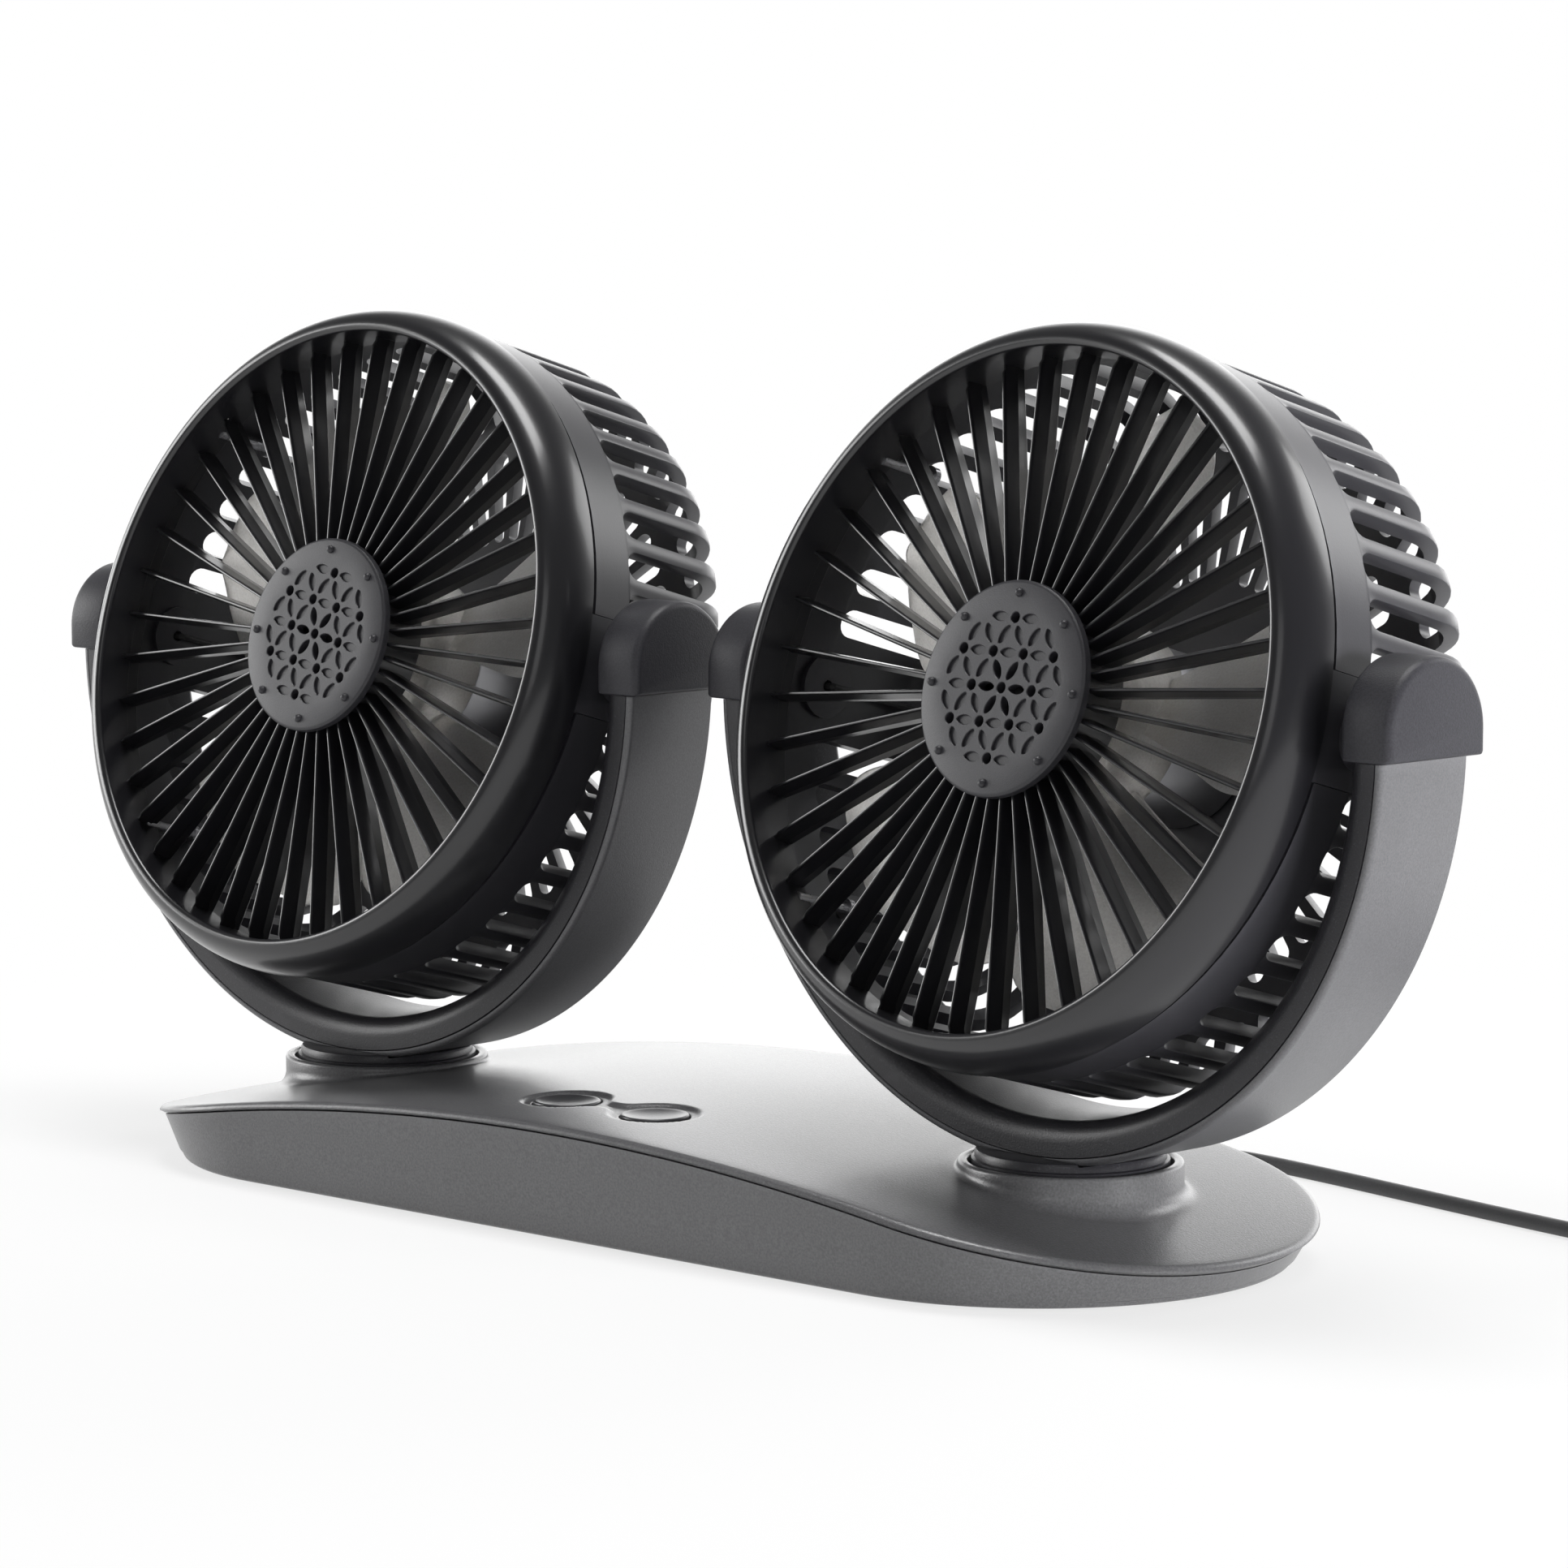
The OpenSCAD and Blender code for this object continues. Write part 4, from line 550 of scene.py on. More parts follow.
class FAN_OT_cord(bpy.types.Operator):
    """Makes the lead, its sleeve, coil, strap and plug"""
    bl_idname = "fan.cord"
    bl_label = "Lead and plug"

    def execute(self, context):
        width = context.scene.fan_sizes.cord_width
        turns, tail, plug = coil_route()
        route = spline_route(LEAD_POINTS, LEAD_STEPS)
        route += [Vector(p) for p in turns] + tail[1:]
        curve = bpy.data.curves.new("lead", "CURVE")
        curve.dimensions = "3D"
        curve.bevel_depth = width / 2
        curve.bevel_resolution = 4
        curve.use_fill_caps = True
        line = curve.splines.new("POLY")
        line.points.add(len(route) - 1)
        for p, q in zip(line.points, route):
            p.co = (q[0] * MM, q[1] * MM, q[2] * MM, 1)
        line.use_smooth = True
        lead = bpy.data.objects.new("lead", curve)
        context.collection.objects.link(lead)
        curve.materials.append(finish("Cord matt jacket"))
        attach(lead, "base")
        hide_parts("cord_lead", "cord_coil", "cord_tail")

        outward = Matrix.Translation((0.018, 0, 0.0055)) @ Matrix.Rotation(radians(-90), 4, "X")
        piece("sleeve", lathe(sleeve_profile(), 48), "base", "Rubber matt black",
              ["cord_grommet"], 50, outward)
        turn = Matrix.Translation(Vector(plug) * MM) @ Matrix.Rotation(HEADING, 4, "Z")
        corners = [(y, z * RIDGE_HALF) for y, z in ((RIDGE_FLOOR, -1), (RIDGE_OUT, -1),
                                                    (RIDGE_OUT, 1), (RIDGE_FLOOR, 1))]
        grooves = []
        for x in (RIDGE_START + RIDGE_STEP * k for k in range(RIDGES)):
            for s in (-1, 1):
                side = [(s * y, z) for y, z in corners]
                grooves.append((prism(side, x, x + RIDGE_W), turn))
        grip = piece("plug_grip", plug_grip(), "base", "Rubber matt black",
                     ["usb_plug_body"], 40, turn, grooves)
        dress({"usb_plug_shell": "Plug nickel", "cord_tie": "Plain black moulding"})
        return {"FINISHED"}


# The base is a stadium that grows with height, under an arched top
FOOT_L, FOOT_W, FLOOR_Z = 200.6, 75.8, 0.4
HALF_STRAIGHT = (FOOT_L - FOOT_W) / 2
END_GROW, SIDE_GROW, BLOCK_H = 24.67, 1.693, 18.2
CROWN, ARCH_R, RIM_T, SEAM_T = 17.6, 450.0, 1.5, 0.2
RIM_GROW, RIM_EDGE = 0.3, 1.1
RIM_INSET, OUTLINE_POINTS = 2.4, 260
# The deck's slight crown across its width: height, half width and how far it starts lower
CROWN_RISE, CROWN_HALF, CROWN_DROP = 0.5, 38.0, 0.32
BOSS_R, BOSS_TOP, BOSS_PATCH, BOSS_POINTS = 16.2, 15.3, 21.0, 96
FILLET_MOST, FILLET_LEAST, FILLET_SHARE = 2.2, 0.25, 0.55
BUTTON_X, BUTTON_Y, BORE_R, BORE_POINTS = 9.0, -21.5, 5.45, 64
BUTTONS = ((-BUTTON_X, BUTTON_Y), (BUTTON_X, BUTTON_Y))
# The sunk border round the buttons: radius, half width of its neck, blend, depth and slope
BORDER_R, NECK_HALF, NECK_BLEND, BORDER_DEPTH, BORDER_SLOPE = 6.7, 1.5, 2.2, 0.55, 0.9
# Steps of the deck's two grids, the box of the fine one and how far out the coarse one goes
FINE_STEP, COARSE_STEP, FINE_X, FINE_Y, COARSE_OUT = 0.4, 2.2, 20.6, (-31.6, -11.4), 35.2
FOOT_EDGE, WALL_ROWS = 0.8, 10
PAD_X, PAD_R, PAD_TOP, PAD_POINTS = 42, 23.2, 1.2, 48
END_SCREW_X, SIDE_SCREW, WELL_R, WELL_TOP = 88, (40, 29.5), 2.5, 1.9


def arch(x):
    """Height of the base's arched top at a distance from the middle."""
    return CROWN - ARCH_R + sqrt(ARCH_R * ARCH_R - x * x)


def base_outline():
    """Even points round the stadium."""
    r = FOOT_W / 2
    straight, bend = 2 * HALF_STRAIGHT, pi * r
    points = []
    for k in range(OUTLINE_POINTS):
        d = (2 * straight + 2 * bend) * k / OUTLINE_POINTS
        if d < straight:
            points.append((-HALF_STRAIGHT + d, -r))
        elif d < straight + bend:
            a = -pi / 2 + (d - straight) / r
            points.append((HALF_STRAIGHT + r * cos(a), r * sin(a)))
        elif d < 2 * straight + bend:
            points.append((HALF_STRAIGHT - (d - straight - bend), r))
        else:
            a = pi / 2 + (d - 2 * straight - bend) / r
            points.append((-HALF_STRAIGHT + r * cos(a), r * sin(a)))
    return points


def wall_point(p, z, off=0.0):
    """A point of the foot carried up the leaning wall to a height, and moved out."""
    up = (z - FLOOR_Z) / BLOCK_H
    x = p[0] * (1 + END_GROW / FOOT_L * up)
    y = p[1] * (1 + SIDE_GROW / FOOT_W * up)
    nx = p[0] - max(-HALF_STRAIGHT, min(HALF_STRAIGHT, p[0]))
    m = hypot(nx, p[1])
    return (x + off * nx / m, y + off * p[1] / m)


def rim_point(p, drop=0.0, off=0.0):
    """The point of the wall at the arched top, lowered by a drop."""
    z = 15.0
    for _ in range(6):
        x, y = wall_point(p, z, off)
        z = arch(x) - drop
    return (x, y, z)


def soft_step(t):
    t = max(0.0, min(1.0, t))
    return t * t * (3 - 2 * t)


def recess_distance(x, y):
    """Distance to the sunk border round the buttons, which a waisted neck joins."""
    nearest, right = [hypot(x - bx, y - by) - BORDER_R for bx, by in BUTTONS]
    neck = max(abs(x) - BUTTON_X, abs(y - BUTTON_Y) - NECK_HALF)
    for d in (right, neck):
        h = max(NECK_BLEND - abs(nearest - d), 0.0) / NECK_BLEND
        nearest = min(nearest, d) - h * h * NECK_BLEND * 0.25
    return nearest


def deck_height(x, y):
    """Height of the base's top surface: the arch, a slight crown and the sunk border."""
    z = arch(x) + CROWN_RISE * (1 - (y / CROWN_HALF) ** 2) - CROWN_DROP
    if abs(x) < 22 and -34 < y < -8:
        z -= BORDER_DEPTH * soft_step(0.5 - recess_distance(x, y) / BORDER_SLOPE)
    return z


def on_deck(points, drop=0.0):
    """Flat points laid on the deck, or a little under it."""
    return [(x, y, deck_height(x, y) - drop) for x, y in points]


def deck_points():
    """Points inside the deck: a fine grid round the buttons and a coarse one elsewhere."""
    def near(x, y):
        return (any(hypot(x - s * HEAD_X, y) < BOSS_PATCH + 0.8 for s in SIDES.values())
                or any(hypot(x - bx, y - by) < BORE_R + 0.35 for bx, by in BUTTONS))
    fine = [(FINE_STEP * i, FINE_STEP * j + BUTTON_Y)
            for i in range(-50, 51) for j in range(-24, 25)]
    coarse = [(COARSE_STEP * i, COARSE_STEP * j) for i in range(-50, 51) for j in range(-20, 21)]
    coarse = [(x, y) for x, y in coarse
              if not (abs(x) < FINE_X and FINE_Y[0] < y < FINE_Y[1])
              and hypot(max(0, abs(x) - HALF_STRAIGHT - 0.9), y) <= COARSE_OUT]
    return [p for p in fine + coarse if not near(*p)]


def boss(cx):
    """A filleted boss with its rolled rim, sunk seat and bore."""
    angles = [2 * pi * k / BOSS_POINTS for k in range(BOSS_POINTS)]
    loops = [on_deck([(cx + r * cos(a), r * sin(a)) for a in angles]) for r in (BOSS_PATCH, 19.6)]
    for t in (0.0, 0.15, 0.3, 0.45, 0.6, 0.75, 0.9, 1.0):
        loop = []
        for a in angles:
            foot = deck_height(cx + BOSS_R * cos(a), BOSS_R * sin(a))
            fillet = min(FILLET_MOST, max(FILLET_LEAST, (BOSS_TOP - foot) * FILLET_SHARE))
            r = BOSS_R + fillet * (1 - sin(pi * t / 2))
            x, y = cx + r * cos(a), r * sin(a)
            loop.append((x, y, deck_height(x, y) + fillet * (1 - cos(pi * t / 2))))
        loops.append(loop)
    for r, z in ((16.2, 14.85), (16.08, 15.15), (15.8, 15.3), (15.1, 15.3), (14.85, 15.18),
                 (14.7, 14.9), (14.7, 13.95), (14.5, 13.7), (6.3, 13.7), (6.05, 13.5),
                 (6.05, 9.4), (9.4, 9.4), (9.4, 12.0)):
        loops.append([(cx + r * cos(a), r * sin(a), z) for a in angles])
    return tube(loops)


def base_top():
    """Upper shell: crowned deck, rolled rim, two filleted bosses, bored button places."""
    outline = base_outline()
    ring = [rim_point(p, 0.0, RIM_GROW - RIM_INSET)[:2] for p in outline]
    holes = [circle(s * HEAD_X, 0, BOSS_PATCH, BOSS_POINTS) for s in SIDES.values()]
    holes += [circle(bx, by, BORE_R, BORE_POINTS) for bx, by in BUTTONS]
    points, faces = sheet_with_holes(ring, holes, deck_points())
    loops = [on_deck(ring)]
    for k in range(8):
        a = radians(90 * k / 7)
        loop = []
        for p in outline:
            x, y, _ = rim_point(p, 0.0, RIM_GROW - RIM_EDGE * (1 - sin(a)))
            loop.append((x, y, deck_height(x, y) - RIM_EDGE * 0.75 * (1 - cos(a)) - 0.02))
        loops.append(loop)
    for drop, inset in ((RIM_T - 0.25, 0.05), (RIM_T - 0.05, 0.2), (RIM_T, 0.45), (RIM_T, 3.0)):
        loops.append([rim_point(p, drop, RIM_GROW - inset) for p in outline])
    bores = [tube([on_deck(circle(bx, by, r, BORE_POINTS), d)
                   for r, d in ((BORE_R, 0.0), (5.36, 0.06), (5.32, 0.2), (5.32, 1.3))])
             for bx, by in BUTTONS]
    return join((on_deck(points), faces), tube(loops), *[boss(s * HEAD_X) for s in SIDES.values()],
                *bores)


def base_bottom():
    """Lower shell: leaning walls, a small rounded foot edge, the seat of the grip pad."""
    outline = base_outline()
    foot = FLOOR_Z + FOOT_EDGE
    loops = []
    for k in range(5):
        a = radians(90 * k / 4)
        loops.append(raised([wall_point(p, FLOOR_Z, -FOOT_EDGE * (1 - sin(a))) for p in outline],
                            FLOOR_Z + FOOT_EDGE * (1 - cos(a))))
    tops = [rim_point(p, RIM_T + SEAM_T)[2] for p in outline]
    for k in range(1, WALL_ROWS + 1):
        heights = [foot + (top - 0.02 - foot) * k / WALL_ROWS for top in tops]
        loops.append([(*wall_point(p, z), z) for p, z in zip(outline, heights)])
    for inset, lower in ((0.25, 0.0), (1.8, 0.0), (1.9, 1.4)):
        loops.append([(*wall_point(p, z, -inset), z - lower) for p, z in zip(outline, tops)])
    pad = [(s * (PAD_X + PAD_R * cos(a)), s * PAD_R * sin(a)) for s in (1, -1)
           for a in (-pi / 2 + pi * k / (PAD_POINTS - 1) for k in range(PAD_POINTS))]
    screws = [(END_SCREW_X, 0), (-END_SCREW_X, 0)]
    screws += [(sx * SIDE_SCREW[0], sy * SIDE_SCREW[1]) for sx in (-1, 1) for sy in (-1, 1)]
    wells = [circle(x, y, WELL_R, 32) for x, y in screws]
    points, faces = sheet_with_holes([p[:2] for p in loops[0]], [pad] + wells)
    parts = [tube(loops), (raised(points, FLOOR_Z), faces)]
    for hole, top in [(pad, PAD_TOP)] + [(w, WELL_TOP) for w in wells]:
        parts += [tube([raised(hole, FLOOR_Z), raised(hole, top)]), lid(raised(hole, top))]
    return join(*parts)


class FAN_OT_base(bpy.types.Operator):
    """Builds the base's two shells and finishes what is on and in them"""
    bl_idname = "fan.base"
    bl_label = "Base"

    def execute(self, context):
        piece("base_deck", base_top(), "base", "Base grained grey",
              ["base_top_shell"], 42)
        piece("base_tray", base_bottom(), "base", "Base grained grey",
              ["base_bottom_shell"], 42)
        dress({"grip_pad": "Rubber matt black", "base_screws": "Plated steel",
               "ballast_plate": "Ballast steel", "control_board": "Circuit board green",
               "board_screws": "Plated steel", "button_switches": "Plain black moulding"})
        return {"FINISHED"}


class FAN_OT_buttons(bpy.types.Operator):
    """Turns the two dished push buttons"""
    bl_idname = "fan.buttons"
    bl_label = "Buttons"

    def execute(self, context):
        top = arch(BUTTON_X) - 0.15
        dish = [(0.0, 0.55), (1.2, 0.53), (2.4, 0.43), (3.4, 0.29), (4.3, 0.1), (4.7, 0.0),
                (4.9, 0.02), (5.04, 0.1), (5.1, 0.26)]
        skirt = [(5.1, 15.6), (6.05, 15.6), (6.05, 14.9), (1.6, 14.9), (1.6, 12.8), (0.0, 12.8)]
        cap = lathe([(r, top - d) for r, d in dish] + skirt, 72, close_profile=False)
        for name, (bx, by) in zip(SIDES, BUTTONS):
            piece(f"{name}_button_cap", cap, f"{name}_key", "Button soft gloss",
                  [f"{name}_button"], 50, Matrix.Translation((bx * MM, by * MM, 0)))
        return {"FINISHED"}


YOKE_IN, YOKE_SEAM, YOKE_OUT, YOKE_HALF, ARM_END = 57.5, 62.7, 63.8, 8.9, -2.3
CHANNEL_OUT, CHANNEL_FLOOR, CHANNEL_T, SEAM_GROOVE = 62.6, 59.1, 1.6, 0.12
EAR_R, EAR_RISE, EAR_BORE, EAR_IN, EAR_OUT = 8.7, 1.6, 3.56, 59.3, 61.7
CAP_HALF, CAP_FOOT, CAP_CORNER, CAP_WALL, PIVOT_SLOT_R, CUT_FOOT = 10.1, -2.1, 0.45, 1.1, 5.2, -5.0

# Sections of a pivot cap from inside to outside: distance, inset and lift of the foot
CAP_SECTIONS = [(57.6, 0.7, 0.35), (57.75, 0.35, 0.18), (58.05, 0.1, 0.05), (58.5, 0.0, 0.0),
                (64.7, 0.0, 0.0), (65.15, 0.08, 0.04), (65.55, 0.27, 0.14), (65.82, 0.55, 0.3),
                (65.95, 0.85, 0.48), (66.0, 1.2, 0.7)]


def yoke_ring(profile):
    """Half a ring round the tilt axis, from a section of (radius, forward), with level ends."""
    drop = degrees(asin(-ARM_END / 60.0))
    verts, faces = lathe(profile, 128, 180 + drop, 180 - 2 * drop)
    out = []
    for x, y, z in verts:
        if y > ARM_END - 1.5:
            r = hypot(x, y)
            y = ARM_END
            x = (1 if x > 0 else -1) * sqrt(r * r - y * y)
        out.append((x, -z, y))
    return out, faces


def yoke_channel():
    """The yoke's rounded inner channel with its two bored ears."""
    w = YOKE_HALF
    out, floor, t = CHANNEL_OUT, CHANNEL_FLOOR, CHANNEL_T
    section = [(out, w - SEAM_GROOVE), (out - 0.1, w)]
    section += arc(YOKE_IN + 3.0, w - 3.0, 3.0, 90, 180, 12)
    section += arc(YOKE_IN + 1.0, -w + 1.0, 1.0, 180, 270, 6)
    section += [(out - 0.1, -w), (out, -w + SEAM_GROOVE), (out, -w + t), (floor, -w + t),
                (floor, w - t), (out, w - t)]
    ear = dome(EAR_R, EAR_RISE, 40) + [(-EAR_R, -2.35), (EAR_R, -2.35)]
    bore = circle(0, 0, EAR_BORE, 40)
    points, faces = sheet_with_holes(ear, [bore])
    parts = [yoke_ring(section)]
    for s in (-1, 1):
        parts += [([(s * x, a, b) for a, b in points], faces) for x in (EAR_IN, EAR_OUT)]
        parts += [tube([[(s * x, a, b) for a, b in loop] for x in (EAR_IN, EAR_OUT)])
                  for loop in (ear, bore)]
    return join(*parts)


def yoke_band():
    """The cover band round the outside of a yoke."""
    w, foot = YOKE_HALF, YOKE_SEAM + SEAM_GROOVE
    section = [(YOKE_SEAM, w - SEAM_GROOVE), (foot, w)]
    section += arc(YOKE_OUT - 0.85, w - 0.85, 0.85, 90, 0, 8)
    section += arc(YOKE_OUT - 0.4, -w + 0.4, 0.4, 0, -90, 4)
    return yoke_ring(section + [(foot, -w), (YOKE_SEAM, -w + SEAM_GROOVE)])


def tombstone(inset, lift=0.0, corner=0.0):
    """Outline of a pivot cap in (across, up): a round head on a straight foot."""
    half, low = CAP_HALF - inset, CAP_FOOT + lift
    foot = arc(half - corner, low + corner, corner, -90, 0, 5) if corner else [(half, low)]
    return foot + dome(half, EAR_RISE, 48) + [(-a, b) for a, b in reversed(foot)]


def pivot_caps():
    """Both caps of a yoke, whole."""
    return join(*[tube([[(s * x, a, b) for a, b in tombstone(inset, lift, CAP_CORNER)]
                        for x, inset, lift in CAP_SECTIONS], capped=True) for s in (-1, 1)])


def cap_hollows(place):
    """What is cut from both caps: the room for the arm and the slot for the pivot."""
    room = tombstone(CAP_WALL)
    room = [(room[0][0], CUT_FOOT)] + room[1:-1] + [(room[-1][0], CUT_FOOT)]
    slot = dome(PIVOT_SLOT_R, 0.0, 24) + [(-PIVOT_SLOT_R, CUT_FOOT), (PIVOT_SLOT_R, CUT_FOOT)]
    return [(prism(shape, s * x0, s * x1), place) for s in (-1, 1)
            for shape, x0, x1 in ((room, 58.7, 64.6), (slot, 57.0, 59.0))]


def turntable():
    """The round plate that carries a yoke, with its hollow spigot."""
    plate = lathe([(3.0, 13.85), (13.9, 13.85), (14.2, 14.1), (14.2, 15.5), (13.75, 15.65),
                   (13.75, 16.4), (13.5, 16.8), (13.2, 16.9), (3.0, 16.9)], 96)
    return join(plate, lathe([(3.0, 5.9), (6.0, 5.9), (6.0, 13.86), (3.0, 13.86)], 64))


class FAN_OT_yokes(bpy.types.Operator):
    """Builds the yokes, their cover bands, pivot caps and turntables"""
    bl_idname = "fan.yokes"
    bl_label = "Yokes and turntables"

    def execute(self, context):
        # room for the yoke in the turntable
        r, h = YOKE_OUT + 0.1, YOKE_HALF + 0.2
        drum, faces = lathe([(0.0, -h), (r, -h), (r, h), (0.0, h)], 180, close_profile=False)
        seat = [(x, z, y) for x, y, z in drum], faces
        for side in SIDES:
            body, place = f"{side}_swivel", yoke_place(side)
            piece(f"{side}_yoke_channel", yoke_channel(), body, "Yoke speckled charcoal",
                  [f"{side}_yoke"], 40, place)
            piece(f"{side}_yoke_band", yoke_band(), body, "Band satin graphite",
                  [f"{side}_yoke_cover"], 40, place)
            piece(f"{side}_caps", pivot_caps(), body, "Trim satin graphite",
                  [f"{side}_pivot_caps"], 48, place, cap_hollows(place))
            piece(f"{side}_turntable_ring", turntable(), body, "Yoke speckled charcoal",
                  [f"{side}_turntable"], 40, swivel_place(side), [(seat, place)])
            dress({f"{side}_swivel_nut": "Plated steel", f"{side}_swivel_washer": "Plated steel",
                   f"{side}_yoke_screws": "Plated steel", f"{side}_yoke_wire": "Wire jacket"})
        return {"FINISHED"}


SEAM_Z, BEZEL_FRONT, BEZEL_IN, HEAD_R, LIP_R = 8.4, 16.8, 48.8, 53.6, 4.0
FIN_OUT, FIN_IN, FIN_REAR, FIN_STEP, FIN_COUNT = 12.7, 13.7, 8.4, 2.67, 42
CUP_R, CUP_IN = 14.6, 13.0

# Stations out along a fin: radius and how far its front edge has dropped
FIN_STATIONS = [(13.6, 0.0), (16.5, 0.08), (22.0, 0.24), (30.0, 0.46), (38.6, 0.70), (44.0, 0.85),
                (47.4, 0.945), (48.2, 0.98), (49.2, 1.0)]
FIN_ROOT_R, FIN_ROOT_DROP = 47.9, 0.4


def bezel_profile():
    """Section of the front ring: rounded shoulder, rolled lip, wall and rear tongue."""
    rise = SEAM_Z + 0.6
    points = [(HEAD_R - 0.12, SEAM_Z), (HEAD_R, SEAM_Z + 0.12)]
    for k in range(19):
        a = pi / 2 * k / 18
        points.append((HEAD_R - LIP_R + LIP_R * cos(a), rise + (BEZEL_FRONT - rise) * sin(a)))
    for k in range(1, 7):
        a = pi / 2 * k / 6
        points.append((BEZEL_IN + 0.8 * (1 - sin(a)), BEZEL_FRONT - 0.8 * (1 - cos(a))))
    return points + [(BEZEL_IN, 13.0), (BEZEL_IN, 10.5), (BEZEL_IN + 0.12, 10.38),
                     (BEZEL_IN + 0.12, 8.35), (BEZEL_IN + 0.25, 8.2), (BEZEL_IN + 1.2, 8.2),
                     (BEZEL_IN + 1.3, 11.8), (50.8, 11.4), (50.8, 6.2), (51.6, 6.2),
                     (51.6, SEAM_Z)]


def fin(width):
    """One grille fin: narrow rounded front edge, flaring flanks, a step and a thinner flat rear."""
    h = width / 2
    loops = []
    for r, u in FIN_STATIONS:
        front = FIN_IN + (FIN_OUT - FIN_IN) * u
        if r > FIN_ROOT_R:
            front -= FIN_ROOT_DROP
        mid = front - FIN_STEP
        flank = [(0.10, front), (0.30 * h, front - 0.03), (0.43 * h, front - 0.16),
                 (0.52 * h, front - 0.5), (0.97 * h, mid + 0.12), (h, mid + 0.03), (0.95 * h, mid),
                 (0.72 * h, mid - 0.04), (0.70 * h, mid - 0.15), (0.70 * h, FIN_REAR + 0.12),
                 (0.55 * h, FIN_REAR)]
        loops.append([(r, a, b) for a, b in flank] + [(r, -a, b) for a, b in reversed(flank)])
    return tube(loops, capped=True)


class FAN_OT_grilles(bpy.types.Operator):
    """Builds the front rings with their fins and hub cups, each cup closed by a dark disc that is
    painted shade behind the hub plate's holes
    """
    bl_idname = "fan.grilles"
    bl_label = "Grilles"

    def execute(self, context):
        one = fin(context.scene.fan_sizes.fin_width / MM)
        # The disc across each cup, from 10.7 to 11.4 mm, is painted shade: a dark sheet that hides
        # the pale hub behind the hub plate's holes.
        cup = lathe([(CUP_R, 6.2), (CUP_R, 13.88), (CUP_IN, 13.88), (CUP_IN, 11.4), (0.0, 11.4),
                     (0.0, 10.7), (CUP_IN, 10.7), (CUP_IN, 6.0), (CUP_R - 0.2, 6.0)], 96)
        for side in SIDES:
            fins = [spun(one, 90 + FIN_TURN[side] + 360 * k / FIN_COUNT) for k in range(FIN_COUNT)]
            piece(f"{side}_bezel", join(lathe(bezel_profile(), 192), *fins, cup), f"{side}_head",
                  "Bezel satin black", [f"{side}_grille"], 32, head_place(side))
        return {"FINISHED"}


LATTICE = 5.8
HALF_LATTICE = range(-2, 3)
PLATE_R, PLATE_Z, PLATE_T, PLATE_POINTS = 15.5, 15.3, 1.4, 144
RIVETS, RIVET_RING = 8, 13.6
# Round holes, and petals by half length and half width, at their floor and at their mouth
HOLE_R, PETAL_HALF, PETAL_POINTS = (0.8, 0.9), ((1.51, 0.67), (1.6, 0.76)), 18


def hex_xy(p):
    """The place of a node of the hexagonal lattice."""
    return (LATTICE * (p[0] + p[1] / 2), LATTICE * p[1] * sqrt(3) / 2)


def petal(cx, cy, turn, half_l, half_w):
    """A pointed oval."""
    out = []
    for k in range(PETAL_POINTS):
        a = 2 * pi * k / PETAL_POINTS
        x = half_l * cos(a)
        y = half_w * sin(a) * (1 - 0.25 * abs(cos(a)) ** 3)
        out.append((cx + x * cos(turn) - y * sin(turn), cy + x * sin(turn) + y * cos(turn)))
    return out


def plate_holes():
    """Round and petal holes that go through, and shallow petals, each as (small, wide)."""
    through, blind = [], []
    nodes = [(i, j) for i in HALF_LATTICE for j in HALF_LATTICE if abs(i + j) <= 2]
    for p in nodes:
        x, y = hex_xy(p)
        if hypot(x, y) < 1.9 * LATTICE:
            through.append([circle(x, y, r, 24) for r in HOLE_R])
        for step in ((1, 0), (0, 1), (-1, 1)):
            q = (p[0] + step[0], p[1] + step[1])
            if q in nodes:
                mx, my = [(a + b) / 2 for a, b in zip(hex_xy(p), hex_xy(q))]
                sx, sy = hex_xy(step)
                pair = [petal(mx, my, atan2(sy, sx), *half) for half in PETAL_HALF]
                (through if hypot(mx, my) < 0.6 * LATTICE else blind).append(pair)
    return through, blind


def hub_plate():
    """Pierced plate: bevelled edge, round and petal holes, shallow petals between them."""
    through, blind = plate_holes()
    top, back = PLATE_Z, PLATE_Z - PLATE_T
    rims = [(PLATE_R - 0.55, top), (PLATE_R - 0.3, top - 0.08), (PLATE_R - 0.08, top - 0.3),
            (PLATE_R, top - 0.6), (PLATE_R, back + 0.1), (PLATE_R - 0.1, back)]
    rings = [circle(0, 0, r, PLATE_POINTS) for r, _ in rims]
    face, faces = sheet_with_holes(rings[0], [wide for _, wide in through + blind])
    rear, rear_faces = sheet_with_holes(rings[-1], [small for small, _ in through])
    parts = [(raised(face, top), faces), (raised(rear, back), rear_faces),
             tube([raised(ring, z) for ring, (_, z) in zip(rings, rims)])]
    for small, wide in through:
        parts.append(tube([raised(wide, top), raised(small, top - 0.1), raised(small, back)]))
    for small, wide in blind:
        parts.append(tube([raised(wide, top), raised(small, top - 0.12),
                           raised(small, top - 0.38)]))
        parts.append(lid(raised(small, top - 0.38)))
    return join(*parts)


